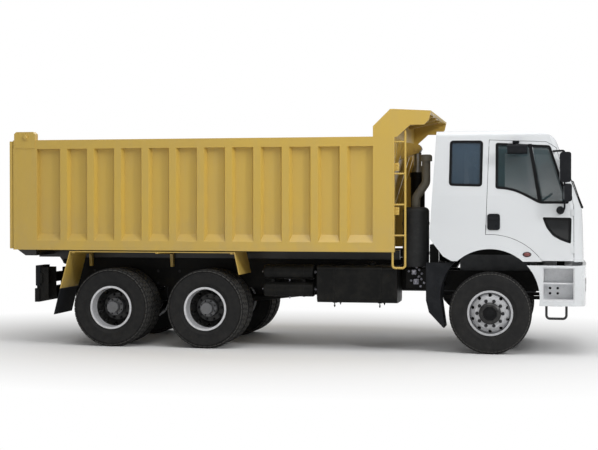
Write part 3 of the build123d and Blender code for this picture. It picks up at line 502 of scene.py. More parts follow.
def roundCorners(bm, verts, offset):
    bmesh.ops.bevel(
        bm, geom=verts, offset=offset, affect="VERTICES", segments=5, profile=0.5, material=-1
    )


def lathe(profile, steps=32, paint=0):
    bm = bmesh.new()
    verts = [bm.verts.new((radius, 0, height)) for radius, height in profile]
    edges = [bm.edges.new(pair) for pair in zip(verts, verts[1:])]
    spinRound(bm, verts + edges, steps)
    return painted(bm, paint)


def roundBox(size, edge=0.004, segments=2, paint=0):
    bm = bmesh.new()
    bmesh.ops.create_cube(bm, size=1)
    bmesh.ops.scale(bm, vec=size, verts=bm.verts[:])
    roundEdges(bm, bm.edges[:], edge, segments)
    return painted(bm, paint)


# a flat outline's thickness before it is laid on a wall, and how near its plane counts as on it
sheet = {"thick": 0.02, "flat": 0.001}


def hollow(bm, width):
    # leaves a band of this width inside an outline
    pane = bm.faces[:]
    bmesh.ops.inset_region(bm, faces=pane, thickness=width, use_boundary=True, use_even_offset=True)
    bmesh.ops.delete(bm, geom=pane, context="FACES_ONLY")
    bmesh.ops.solidify(bm, geom=bm.faces[:], thickness=sheet["thick"])


def rod(start, end, radius, sidesRound=10, paint=0):
    bm = bmesh.new()
    start, end = Vector(start), Vector(end)
    along = end - start
    turn = along.to_track_quat("Z", "Y").to_matrix().to_4x4()
    cone(bm, sidesRound, radius, radius, along.length, Matrix.Translation((start + end) / 2) @ turn)
    caps = {edge for face in bm.faces if len(face.verts) > 4 for edge in face.edges}
    roundEdges(bm, [edge for edge in bm.edges if edge in caps], radius * 0.3, 2)
    return painted(bm, paint)


def stamp(bm, source, move=Matrix(), keep=False):
    mesh = bpy.data.meshes.new("stamp")
    source.to_mesh(mesh)
    mesh.transform(move)
    bm.from_mesh(mesh)
    bpy.data.meshes.remove(mesh)
    if not keep:
        source.free()


def finishPiece(bm, name, finishes, body, sharp=35):
    bmesh.ops.remove_doubles(bm, verts=bm.verts[:], dist=0.00002)
    bmesh.ops.recalc_face_normals(bm, faces=bm.faces[:])
    mesh = toMesh(bm, name)
    for finish in finishes:
        mesh.materials.append(finish)
    mesh.shade_smooth()
    mesh.set_sharp_from_angle(angle=math.radians(sharp))
    piece = addObject(name, mesh)
    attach(piece, body)
    return piece


def outward(side):
    # turns a shape's +Z to point out of the truck's right or left side
    return Matrix.Rotation(math.radians(90 if side < 0 else -90), 4, "X")


def onSide(spot, side):
    return Matrix.Translation(spot) @ outward(side)


def facing(way):
    # turns a shape's +Z along a given direction
    return Vector(way).to_track_quat("Z", "Y").to_matrix().to_4x4()


def touch(names, start, way):
    # nearest point of these CAD nodes along a ray
    start = Vector(start)
    hits = [nodes[name].ray_cast(start, Vector(way)) for name in names]
    spots = [hit[1] for hit in hits if hit[0]]
    return min(spots, key=lambda spot: (spot - start).length, default=None)


def touchSide(names, x, side, z):
    return touch(names, at(x, side * aside, z), (0, -side, 0))


bpy.context.view_layer.update()

# tyres
tyreSet = {
    # radius and half width from bead to crown
    "section": [
        (0.284, 0.104), (0.293, 0.116), (0.304, 0.1205), (0.316, 0.121), (0.342, 0.133),
        (0.350, 0.138), (0.361, 0.1385), (0.369, 0.1365), (0.420, 0.1455), (0.452, 0.1470),
        (0.478, 0.1450), (0.500, 0.1365), (0.5205, 0.1235), (0.5215, 0.072), (0.5215, 0.024),
    ],
    # points past this one on the crown are staggered by a share of the pitch
    "staggerFrom": 12, "stagger": 0.38,
    # crown, shoulder and buttress blocks: radius they start from, half width they stay within, groove
    "zones": ((0.517, 0.124, 0.0066), (0.503, 1.0, 0.0055), (0.484, 1.0, 0.0075)),
    # pitches round the tyre, height of each zone's blocks, y of each tyre
    "front": (64, (0.0183, 0.006, 0), (1.020,)),
    "rear": (46, (0.0183, 0.0155, 0.006), (1.080, 0.730)),
}


def makeTyre(pitches, heights):
    half = tyreSet["section"]
    points = [(radius, -width) for radius, width in half]
    points += [(radius, width) for radius, width in reversed(half)]
    stagger = 2 * math.pi / pitches * tyreSet["stagger"]
    bm = bmesh.new()
    verts = []
    for index, (radius, width) in enumerate(points):
        row = min(index, len(points) - 1 - index) - tyreSet["staggerFrom"]
        skew = stagger * (-1) ** row if row > 0 else 0
        skew = -skew if width > 0 else skew
        verts.append(bm.verts.new((radius * math.cos(skew), radius * math.sin(skew), width)))
    edges = [bm.edges.new((a, b)) for a, b in zip(verts, verts[1:] + verts[:1])]
    spinRound(bm, verts + edges, pitches)
    bmesh.ops.recalc_face_normals(bm, faces=bm.faces[:])
    blocks = [[] for zone in tyreSet["zones"]]
    for face in bm.faces:
        middle = face.calc_center_median()
        radius = math.hypot(middle.x, middle.y)
        for (least, within, groove), faces in zip(tyreSet["zones"], blocks):
            if radius > least and abs(middle.z) < within:
                faces.append(face)
                break
    for (least, within, groove), faces, high in zip(tyreSet["zones"], blocks, heights):
        if high:
            bmesh.ops.inset_individual(
                bm, faces=faces, thickness=groove, depth=high, use_even_offset=True
            )
    for face in blocks[0] + blocks[1]:
        face.material_index = 1
    return bm


for axle, x in axleX.items():
    pitches, heights, rows = tyreSet["front" if axle == "front" else "rear"]
    for sideName, side in sides.items():
        shape = makeTyre(pitches, heights)
        bm = bmesh.new()
        for y in rows:
            stamp(bm, shape, put(x, side * y, wheelHigh) @ outward(side), keep=True)
        shape.free()
        wheel = f"wheel_{axle}_{sideName}"
        name = f"treaded_tyre_{axle}_{sideName}"
        piece = finishPiece(bm, name, [rubber, wornRubber], wheel, 30)
        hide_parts(f"tyre_{axle}_{sideName}")
print("tyres ready")

# wheel nuts, hub bolts and the front hubs' covers
nutSet = {
    # count, circle, nut radius and height of the wheel nuts and of the hub's bolts
    "rings": ((10, 0.1675, 0.0185, 0.024), (8, 0.102, 0.009, 0.008)),
    # radius and height of the front hub's stepped cover
    "hubCover": [(0, 0.016), (0.040, 0.015), (0.052, 0.011), (0.056, 0.004), (0.078, 0.003),
                 (0.082, 0.007), (0.088, 0.007), (0.091, 0.001), (0.091, -0.004), (0, -0.004)],
    "washer": 0.004,
    "studOver": (0.010, 0.014),
}


def makeNut(radius, high):
    washer = nutSet["washer"]
    rim = radius * 1.25
    bm = lathe([(0, 0), (rim, 0), (rim, washer), (0, washer)], 16)
    hexagon = bmesh.new()
    cone(hexagon, 6, radius, radius * 0.96, high)
    tops = [edge for edge in hexagon.edges if all(vert.co.z > 0 for vert in edge.verts)]
    roundEdges(hexagon, tops, radius * 0.12, 1)
    stamp(bm, hexagon, Matrix.Translation((0, 0, washer + high / 2)))
    neck, tip = (high + over for over in nutSet["studOver"])
    wide, narrow = radius * 0.55, radius * 0.42
    stamp(bm, lathe([(0, 0), (wide, 0), (wide, neck), (narrow, tip), (0, tip)], 12))
    return bm


for axle, x in axleX.items():
    for sideName, side in sides.items():
        bm = bmesh.new()
        rim = f"rim_{axle}_{sideName}"
        for count, circle, radius, high in nutSet["rings"]:
            nut = makeNut(radius, high)
            for index in range(count):
                angle = 2 * math.pi * (index + 0.5) / count
                offX, offZ = circle * math.sin(angle), circle * math.cos(angle)
                seat = touchSide([rim], x + offX, side, wheelHigh + offZ)
                stamp(bm, nut, onSide(seat, side), keep=True)
            nut.free()
        if axle == "front":
            seat = touchSide([rim], x, side, wheelHigh)
            stamp(bm, lathe(nutSet["hubCover"], 40, 1), onSide(seat, side))
        wheel = f"wheel_{axle}_{sideName}"
        finishPiece(bm, f"wheel_nuts_{axle}_{sideName}", [nutSteel, trim], wheel, 30)
print("wheel nuts ready")

# window rubbers
rubberSet = {
    "over": 0.016, "under": 0.016, "proud": 0.003, "sink": 0.024,
    # corner radius and outline of each pane, x and z
    "door": (0.03, [
        (5.285, 2.755), (5.960, 2.717), (6.150, 2.150), (6.195, 1.992), (5.835, 1.992), (5.765, 2.026),
        (5.690, 2.066), (5.610, 2.108), (5.520, 2.146), (5.410, 2.170), (5.285, 2.180),
    ]),
    "kerb": (0.025, [
        (5.885, 1.785), (6.225, 1.778), (6.218, 1.475), (6.110, 1.512), (6.010, 1.566), (5.935, 1.660),
    ]),
    "quarter": (0.045, [(4.690, 2.790), (5.092, 2.786), (5.082, 2.214), (4.680, 2.226)]),
}


def skinY(z):
    return cabSkin["half"] - cabSkin["lean"] * max(0.0, z - cabSkin["waist"])


def makeRing(kind):
    corner, outline = rubberSet[kind]
    bm = bmesh.new()
    verts = [bm.verts.new((x + rearAxle, 0, z)) for x, z in outline]
    bm.faces.new(verts)
    low = Vector((min(v.co.x for v in verts), 0, min(v.co.z for v in verts)))
    high = Vector((max(v.co.x for v in verts), 0, max(v.co.z for v in verts)))
    middle, span = (low + high) / 2, high - low
    over = rubberSet["over"]
    grow = (1 + 2 * over / span.x, 1, 1 + 2 * over / span.z)
    bmesh.ops.scale(bm, vec=grow, verts=verts, space=Matrix.Translation(-middle))
    roundCorners(bm, verts, corner)
    hollow(bm, over + rubberSet["under"])
    return bm


def seatOnSide(bm, side, depths):
    for vert in bm.verts:
        front = abs(vert.co.y) < sheet["flat"]
        vert.co.y = side * (skinY(vert.co.z) + (depths["proud"] if front else -depths["sink"]))


dividerSet = {
    "line": [(5.688, 2.752), (5.732, 2.752), (5.862, 1.994), (5.816, 1.994)],
    "proud": 0.0025,
    "sink": 0.044,
}
for sideName, side in sides.items():
    bm = makeRing("door")
    stamp(bm, makeRing("kerb"))
    seatOnSide(bm, side, rubberSet)
    bar = bmesh.new()
    bar.faces.new([bar.verts.new((x + rearAxle, 0, z)) for x, z in dividerSet["line"]])
    bmesh.ops.subdivide_edges(bar, edges=bar.edges[:], cuts=6, use_grid_fill=True)
    bmesh.ops.solidify(bar, geom=bar.faces[:], thickness=sheet["thick"])
    seatOnSide(bar, side, dividerSet)
    stamp(bm, bar)
    finishPiece(bm, f"door_window_rubbers_{sideName}", [trim], f"door_{sideName}")
bm = bmesh.new()
for side in sides.values():
    ring = makeRing("quarter")
    seatOnSide(ring, side, rubberSet)
    stamp(bm, ring)
finishPiece(bm, "quarter_window_rubbers", [trim], "cab")
print("window rubbers ready")

# windscreen rubber and flap seam, laid on the curved front: corner radius, width, proud, sink and outline
screenSet = {
    "windscreen_rubber": (
        0.07, 0.034, 0.003, 0.018, [(-1.028, 1.961), (1.028, 1.961), (0.983, 2.704), (-0.983, 2.704)]
    ),
    "front_flap_seam": (
        0.05, 0.005, 0.0006, 0.004, [(-1.000, 1.222), (1.000, 1.222), (1.000, 1.880), (-1.000, 1.880)]
    ),
}


missedX = 6.3  # taken where a ray misses the front


def screenX(y, z):
    spot = touch(["cab_front", "cab_glass"], (ahead, y, z), (-1, 0, 0))
    return spot.x if spot else missedX + rearAxle


def makeFrontRing(corner, width, proud, sink, outline):
    bm = bmesh.new()
    bm.faces.new([bm.verts.new((0, y, z)) for y, z in outline])
    bmesh.ops.subdivide_edges(bm, edges=bm.edges[:], cuts=10)
    corners = [v for v in bm.verts if len({round(e.calc_length(), 3) for e in v.link_edges}) == 2]
    roundCorners(bm, corners, corner)
    hollow(bm, width)
    for vert in bm.verts:
        front = abs(vert.co.x) < sheet["flat"]
        vert.co.x = screenX(vert.co.y, vert.co.z) + (proud if front else -sink)
    return bm


for name, shape in screenSet.items():
    finishPiece(makeFrontRing(*shape), name, [trim], "cab")

wiperSet = {
    "pivots": (-0.80, 0.06), "lean": -0.05, "bladeOut": 0.022,
    # heights on the screen
    "foot": 1.93, "bladeFrom": 1.99, "sleeveTo": 2.06, "knee": 2.27, "bladeTo": 2.56,
}


def onScreen(y, height, proud):
    # a place on the line of the wiper that turns at y
    share = (height - wiperSet["foot"]) / (wiperSet["bladeTo"] - wiperSet["foot"])
    across = y + wiperSet["lean"] * share
    return Vector((screenX(across, height) + proud, across, height))


def makeWipers():
    bm = bmesh.new()
    bottom, out = wiperSet["foot"], wiperSet["bladeOut"]
    long = wiperSet["bladeTo"] - wiperSet["bladeFrom"]
    for y in wiperSet["pivots"]:
        foot, knee = onScreen(y, bottom, out), onScreen(y, wiperSet["knee"], 0.040)
        stamp(bm, rod(onScreen(y, bottom, -0.012), onScreen(y, bottom, 0.034), 0.016, 14))
        stamp(bm, rod(foot, onScreen(y, wiperSet["sleeveTo"], 0.032), 0.012))
        stamp(bm, rod(foot, knee, 0.0075))
        low, high = onScreen(y, wiperSet["bladeFrom"], out), onScreen(y, wiperSet["bladeTo"], out)
        middle, turn = (low + high) / 2, facing(high - low)
        stamp(bm, roundBox((0.010, 0.012, long), 0.003), Matrix.Translation(middle) @ turn)
        lip = roundBox((0.018, 0.004, long), 0.0012, 1)
        stamp(bm, lip, Matrix.Translation(middle - Vector((0.009, 0, 0))) @ turn)
        stamp(bm, rod(knee, middle, 0.006))
    finishPiece(bm, "wipers", [trim], "cab")


makeWipers()
print("windscreen ready")

# side markers on the wheel arches
markerSet = {
    "x": 5.676, "z": 1.317, "size": (0.046, 0.028, 1),
    # share of the size, and height
    "dome": [(0, 0.018), (0.4, 0.0172), (0.75, 0.013), (0.93, 0.006), (1, -0.006), (0, -0.006)],
    "lip": [(1, -0.006), (1.22, -0.006), (1.22, 0.003), (1.08, 0.006), (1, 0.004), (1, -0.006)],
}
bm = bmesh.new()
for side in sides.values():
    seat = touchSide(["cab_fenders", "cab_sides"], markerSet["x"], side, markerSet["z"])
    for paint, profile in enumerate((markerSet["dome"], markerSet["lip"])):
        shape = lathe(profile, 32, paint)
        bmesh.ops.scale(shape, vec=markerSet["size"], verts=shape.verts[:])
        stamp(bm, shape, onSide(seat, side))
finishPiece(bm, "side_marker_lamps", [markerLens, trim], "cab")

# holes in the step's lower panel, each drawn as a black dished disc: painted shade for the hole
holeShadeSet = {
    "x": (5.970, 6.069), "z": (0.801, 0.869),
    "cup": [(0, 0.0006), (0.0119, 0.0008), (0.01462, 0.002), (0.017, 0.0016), (0.017, -0.004),
            (0, -0.004)],
}
bm = bmesh.new()
for side in sides.values():
    for x in holeShadeSet["x"]:
        for z in holeShadeSet["z"]:
            seat = touchSide(["front_steps", "bumper"], x, side, z)
            stamp(bm, lathe(holeShadeSet["cup"], 20), onSide(seat, side))
finishPiece(bm, "step_panel_hole_shades", [trim], "chassis")

# tail lamp lenses: red, amber and clear fields in the black housings
tailSet = {
    "x": -1.118, "z": (0.850, 1.090),
    # edges and finish of each field
    "fields": ((0.845, 0.955, 0), (0.960, 1.050, 1), (1.055, 1.165, 2)),
}
bm = bmesh.new()
low, high = tailSet["z"]
for side in sides.values():
    for inner, outer, paint in tailSet["fields"]:
        lens = roundBox((0.016, outer - inner, high - low), 0.006, 3, paint)
        stamp(bm, lens, put(tailSet["x"], side * (inner + outer) / 2, (low + high) / 2))
finishPiece(bm, "tail_lamp_lenses", [redLens, amberLens, whiteLens], "chassis")

# carrier plates that join the tail lamps' panel to the rear guard's bar
carrierSet = {
    "x": (-1.108, -0.936), "y": (0.865, 1.155), "z": (0.625, 1.085), "thick": 0.010,
    # bolts: the end of x and of z they are near, and the step from it
    "bolts": ((0, 0.03, 0, 0.06), (1, -0.03, 0, 0.06), (0, 0.09, 1, -0.13), (1, -0.03, 1, -0.04)),
}
bm = bmesh.new()
xs, zs, thick = carrierSet["x"], carrierSet["z"], carrierSet["thick"]
for side in sides.values():
    for y in carrierSet["y"]:
        plate = roundBox((xs[1] - xs[0], thick, zs[1] - zs[0]), 0.003, 2)
        stamp(bm, plate, put(sum(xs) / 2, side * y, sum(zs) / 2))
        for endX, stepX, endZ, stepZ in carrierSet["bolts"]:
            spot = at(xs[endX] + stepX, side * (y + thick / 2), zs[endZ] + stepZ)
            stamp(bm, makeNut(0.010, 0.008), onSide(spot, side))
finishPiece(bm, "tail_lamp_carriers", [black], "chassis")

# headlamps: two round reflectors and an indicator in a dark bezel, on the lens block
lampSet = {
    "y": (0.715, 1.065), "z": (0.842, 0.998), "bar": 0.016, "over": 0.02,
    # middle and width of the bar beside the indicator
    "divider": (0.998, 0.008), "indicator": (1.008, 1.054), "rounds": (0.800, 0.938),
    "bowl": [(0, 0.010), (0.010, 0.009), (0.013, 0.003), (0.0341, 0.0015), (0.05332, 0.004),
             (0.05704, 0.009), (0.062, 0.009), (0.06572, 0.004), (0.06572, -0.004), (0, -0.004)],
}


def lampSpot(side, y, z):
    return touch(["headlamps"], (ahead, side * y, z), (-1, 0, 0))


def bezelBars():
    # middle, width and height of each bar
    (ya, yb), (za, zb), bar = lampSet["y"], lampSet["z"], lampSet["bar"]
    upright = (za + zb) / 2
    long = yb - ya + lampSet["over"]
    bars = [((ya + yb) / 2, z, long, bar) for z in (za, zb)]
    return bars + [(y, upright, wide, zb - za) for y, wide in ((ya, bar), (yb, bar), lampSet["divider"])]


bm = bmesh.new()
middle, tall = sum(lampSet["z"]) / 2, lampSet["z"][1] - lampSet["z"][0]
inner, outer = lampSet["indicator"]
for side in sides.values():
    for y, z, wide, high in bezelBars():
        a, b = lampSpot(side, y - wide / 2, z), lampSpot(side, y + wide / 2, z)
        turn = Matrix.Rotation(math.atan2(b.y - a.y, b.x - a.x), 4, "Z")
        bar = roundBox((wide, 0.014, high), 0.004, 2, 1)
        stamp(bm, bar, Matrix.Translation((a + b) / 2) @ turn)
    for y in lampSet["rounds"]:
        spot = lampSpot(side, y, middle)
        stamp(bm, lathe(lampSet["bowl"], 36), Matrix.Translation(spot) @ facing((1, 0, 0)))
    blink = roundBox((0.010, outer - inner, tall - 0.03), 0.004, 2, 2)
    stamp(bm, blink, Matrix.Translation(lampSpot(side, (inner + outer) / 2, middle)))
finishPiece(bm, "headlamp_reflectors", [lampChrome, trim, amberLens], "chassis")

# bare number plate and red reflectors on the rear guard
guardSet = {
    "x": -1.130,
    # y, z, width and height
    "plate": (0.30, 0.695, 0.520, 0.112),
    # thickness, margin, edge and step out of the plate and its backing
    "layers": ((0.006, 0, 0.0025, 0.003), (0.005, 0.018, 0.002, 0.0015)),
    "reflectors": (0.70, 1.05),
    "disc": [(0, 0.007), (0.0256, 0.007), (0.032, 0.004), (0.032, -0.003), (0, -0.003)],
}
bm = bmesh.new()
plateY, plateZ, wide, high = guardSet["plate"]
for paint, (thick, margin, edge, out) in enumerate(guardSet["layers"]):
    layer = roundBox((thick, wide + margin, high + margin), edge, 2, paint)
    stamp(bm, layer, put(guardSet["x"] - out, plateY, plateZ))
for side in sides.values():
    for y in guardSet["reflectors"]:
        disc = lathe(guardSet["disc"], 28, 2)
        stamp(bm, disc, put(guardSet["x"], side * y, plateZ) @ facing((-1, 0, 0)))
finishPiece(bm, "rear_plate_and_reflectors", [plateWhite, trim, redLens], "chassis")
print("lamps ready")

# mirror glasses, set in the backs of the mirror heads
mirrorSet = {
    # x, y, z, depth, width and height of each head
    "heads": (
        (6.161, 1.392, 2.442, 0.138, 0.215, 0.382),
        (6.192, 1.392, 2.117, 0.096, 0.205, 0.228),
    ),
    # thickness, edge, how much narrower and lower than the head, and step forwards, of glass and rim
    "layers": ((0.010, 0.004, 0.050, 0.060, -0.001), (0.008, 0.0035, 0.036, 0.046, 0.001)),
}
for sideName, side in sides.items():
    bm = bmesh.new()
    for x, y, z, deep, wide, high in mirrorSet["heads"]:
        for paint, (thick, edge, less, lower, step) in enumerate(mirrorSet["layers"]):
            layer = roundBox((thick, wide - less, high - lower), edge, 2, paint)
            stamp(bm, layer, put(x - deep / 2 + step, side * y, z))
    finishPiece(bm, f"mirror_glasses_{sideName}", [mirrorGlass, trim], f"door_{sideName}")

# door handles: a grip and a lock barrel in each black plate
handleSet = {
    "x": 5.247, "z": 1.738, "grip": (0.118, 0.016, 0.034), "gripStep": (-0.004, 0.004, 0.040),
    "lock": [(0, 0.007), (0.011, 0.007), (0.014, 0.004), (0.015, -0.003), (0, -0.003)],
    "lockStep": (0.040, 0, -0.045),
}
for sideName, side in sides.items():
    bm = bmesh.new()
    seat = touchSide([f"door_fittings_{sideName}"], handleSet["x"], side, handleSet["z"])
    x, out, z = handleSet["gripStep"]
    grip = roundBox(handleSet["grip"], 0.007, 3)
    stamp(bm, grip, Matrix.Translation(seat + Vector((x, side * out, z))))
    stamp(bm, lathe(handleSet["lock"], 20), onSide(seat + Vector(handleSet["lockStep"]), side))
    finishPiece(bm, f"door_handle_grip_{sideName}", [plastic], f"door_{sideName}")
print("mirrors and handles ready")

# the kerb mirror's mount on the right door's frame
mountSet = {"x": 5.530, "z": 2.777, "out": 0.014, "size": (0.085, 0.040, 0.036)}
bm = bmesh.new()
y = -skinY(mountSet["z"]) - mountSet["out"]
stamp(bm, roundBox(mountSet["size"], 0.010, 3), put(mountSet["x"], y, mountSet["z"]))
finishPiece(bm, "kerb_mirror_mount", [plastic], "door_right")

# brackets between the front post and the ladder, and the tailgate pins' heads
bracketSet = {
    "x": 3.978, "y": -1.212, "z": (1.880, 2.462), "size": (0.068, 0.010, 0.105),
    # steps to the bolts, forwards and up or down
    "boltX": 0.006, "boltZ": (-0.028, 0.028),
}
pinSet = {
    "x": -1.229, "z": 2.904,
    "head": [(0, 0.024), (0.022, 0.023), (0.028, 0.018), (0.028, 0.006), (0.045, 0.005),
             (0.045, -0.002), (0, -0.002)],
}
bm = bmesh.new()
x, y, size = bracketSet["x"], bracketSet["y"], bracketSet["size"]
for z in bracketSet["z"]:
    stamp(bm, roundBox(size, 0.004, 2), put(x, y, z))
    for step in bracketSet["boltZ"]:
        spot = at(x + bracketSet["boltX"], y - size[1] / 2, z + step)
        stamp(bm, makeNut(0.008, 0.007), onSide(spot, -1))
for side in sides.values():
    seat = touchSide(["bed_sides", "tailgate"], pinSet["x"], side, pinSet["z"])
    stamp(bm, lathe(pinSet["head"], 28), onSide(seat, side))
finishPiece(bm, "bed_brackets_and_pins", [yellow], "bed")

# fuel tank cap and strap bolts, air tank bands and drain taps
tankSet = {
    "capAt": (3.62, -0.96, 1.145),
    "cap": [(0, 0.048), (0.030, 0.046), (0.047, 0.042), (0.052, 0.034), (0.052, 0.012),
            (0.045, 0.010), (0.045, -0.004), (0, -0.004)],
    "straps": (3.128, 3.740), "boltY": (-1.10, -0.62), "boltZ": (0.585, 0.652), "nutZ": 0.614,
}
bm = bmesh.new()
stamp(bm, lathe(tankSet["cap"], 28), put(*tankSet["capAt"]))
low, high = tankSet["boltZ"]
for x in tankSet["straps"]:
    for y in tankSet["boltY"]:
        stamp(bm, rod(at(x, y, low), at(x, y, high), 0.007))
        downward = put(x, y, tankSet["nutZ"]) @ Matrix.Rotation(math.pi, 4, "X")
        stamp(bm, makeNut(0.012, 0.010), downward)
finishPiece(bm, "fuel_tank_fittings", [tankBlack], "chassis")

airSet = {
    "y": -1.000, "z": (0.815, 1.050), "bands": (2.290, 2.690),
    "band": [(0.097, -0.014), (0.104, -0.014), (0.1045, 0), (0.104, 0.014), (0.097, 0.014),
             (0.097, -0.014)],
    # where the end plugs sit, and the way they point
    "plugs": ((2.138, -1), (2.834, 1)),
    "tap": (2.49, -0.128, -0.096),
}
bm = bmesh.new()
y = airSet["y"]
for z in airSet["z"]:
    for x in airSet["bands"]:
        lying = put(x, y, z) @ Matrix.Rotation(math.radians(90), 4, "Y")
        stamp(bm, lathe(airSet["band"], 40, 1), lying)
    for x, way in airSet["plugs"]:
        stamp(bm, makeNut(0.017, 0.018), put(x, y, z) @ facing((way, 0, 0)))
    x, low, high = airSet["tap"]
    stamp(bm, rod(at(x, y, z + low), at(x, y, z + high), 0.009))
finishPiece(bm, "air_tank_fittings", [castGrey, tankBlack], "chassis")

# brake valves on a bracket between the tank and the front wheel
valveSet = {
    # size, place, edge and its steps
    "plate": ((0.27, 0.01, 0.26), (4.195, -0.840, 0.97), 0.003, 1),
    "arm": ((0.09, 0.42, 0.10), (4.195, -0.630, 0.95), 0.006, 2),
    # x, z and width of each valve
    "valves": ((4.175, 1.055, 0.062), (4.205, 0.930, 0.072)),
    "valveY": -0.888,
    "dome": [(0, 0.05), (0.014, 0.048), (0.022, 0.040), (0.026, 0.0), (0, 0.0)],
    "domeY": -0.930,
    "unions": ((0.065, 0.03), (0.10, -0.02), (-0.075, 0.01), (0.03, 0.065), (0.055, -0.065)),
    "unionY": -0.843,
}
bm = bmesh.new()
for size, place, edge, steps in (valveSet["plate"], valveSet["arm"]):
    stamp(bm, roundBox(size, edge, steps, 1), put(*place))
for x, z, wide in valveSet["valves"]:
    stamp(bm, roundBox((wide, 0.09, wide), 0.010, 3), put(x, valveSet["valveY"], z))
    stamp(bm, lathe(valveSet["dome"], 20), onSide(at(x, valveSet["domeY"], z), -1))
    for stepX, stepZ in valveSet["unions"]:
        spot = at(x + stepX, valveSet["unionY"], z + stepZ)
        stamp(bm, makeNut(0.013, 0.020), onSide(spot, -1))
finishPiece(bm, "brake_valves", [castGrey, black], "chassis")
print("tank and valve fittings ready")

# bolt heads along the frame and U-bolts round the springs
boltSet = {"xFrom": -0.84, "step": 0.32, "count": 15, "z": (0.838, 1.012), "radius": 0.015, "high": 0.012}


def makeBolt(radius, high):
    bm = bmesh.new()
    cone(bm, 6, radius, radius * 0.94, high)
    cone(bm, 14, radius * 1.35, radius * 1.3, high * 0.5)
    return bm


def makeUbolt(bend, thick, leg):
    bm = bmesh.new()
    out = Matrix.Translation((bend, 0, 0))
    bmesh.ops.create_circle(bm, cap_ends=False, segments=10, radius=thick, matrix=out)
    bmesh.ops.spin(
        bm, geom=bm.verts[:] + bm.edges[:], axis=(0, 1, 0), cent=(0, 0, 0), angle=-math.pi, steps=10
    )
    ends = [edge for edge in bm.edges if edge.is_boundary]
    made = bmesh.ops.extrude_edge_only(bm, edges=ends)["geom"]
    tips = [item for item in made if isinstance(item, bmesh.types.BMVert)]
    bmesh.ops.translate(bm, vec=(0, 0, -leg), verts=tips)
    bmesh.ops.holes_fill(bm, edges=[edge for edge in bm.edges if edge.is_boundary])
    return bm


bm = bmesh.new()
bolt = makeBolt(boltSet["radius"], boltSet["high"])
for side in sides.values():
    for index in range(boltSet["count"]):
        for z in boltSet["z"]:
            seat = touchSide(["frame_rails"], boltSet["xFrom"] + index * boltSet["step"], side, z)
            stamp(bm, bolt, onSide(seat, side), keep=True)
bolt.free()
finishPiece(bm, "frame_bolts", [nutSteel], "chassis", 30)

springSet = {
    "y": 0.385, "bend": 0.049, "thick": 0.010,
    # places along x, height, leg and turn; the bogie's hang upside down
    "front": ((5.135, 5.265), 0.694, 0.165, 0),
    "bogie": ((0.585, 0.765), 0.668, 0.115, math.pi),
}
bm = bmesh.new()
for side in sides.values():
    for xs, z, leg, over in (springSet["front"], springSet["bogie"]):
        turn = Matrix.Rotation(math.radians(90), 4, "Z") @ Matrix.Rotation(over, 4, "X")
        for x in xs:
            bolt = makeUbolt(springSet["bend"], springSet["thick"], leg)
            stamp(bm, bolt, put(x, side * springSet["y"], z) @ turn)
finishPiece(bm, "spring_u_bolts", [nutSteel], "chassis")
print("frame fasteners ready")

# seats: cloth pads blown up a little, on bellows bases
seatSet = {
    # pad: size, middle (x, z), lean in degrees, furthest swell, channel spacing
    "cushion": ((0.47, 0.47, 0.105), (5.240, 1.868), 0, 0.020, 0.115),
    "back": ((0.095, 0.445, 0.630), (4.978, 2.190), -7.3, 0.018, 0.110),
    "head": ((0.082, 0.250, 0.150), (4.935, 2.602), -4.0, 0.014, 0.0),
    "y": 0.620, "voxel": 0.009, "pressure": 4, "frames": 20,
    # sewn channels: depth, half width, and the share of the half width they stay within
    "groove": 0.006, "grooveHalf": 0.012, "grooveTo": 0.4,
    # level and width of each fold of the base
    "folds": ((1.516, 0.34), (1.591, 0.30), (1.656, 0.34), (1.721, 0.30), (1.786, 0.34)),
    "baseX": 5.23,
    # the head's two stems: y from the middle, then x and z of their ends
    "stems": (-0.075, 0.075),
    "stemEnds": ((4.944, 2.46), (4.938, 2.56)),
}


def swell(pad, furthest):
    still = [vert.co.copy() for vert in pad.data.vertices]
    puff = pad.modifiers.new("puff", "CLOTH")
    puff.settings.use_pressure = True
    puff.settings.uniform_pressure_force = seatSet["pressure"]
    puff.settings.effector_weights.gravity = 0
    puff.point_cache.frame_start, puff.point_cache.frame_end = 1, seatSet["frames"]
    for step in range(1, seatSet["frames"] + 1):
        bpy.context.scene.frame_set(step)
    blown = pad.evaluated_get(bpy.context.evaluated_depsgraph_get()).data
    moved = [vert.co.copy() for vert in blown.vertices]
    pad.modifiers.remove(puff)
    bpy.context.scene.frame_set(1)
    for vert, old, new in zip(pad.data.vertices, still, moved):
        shift = new - old
        vert.co = old + shift * min(1.0, furthest / max(shift.length, 0.000001))


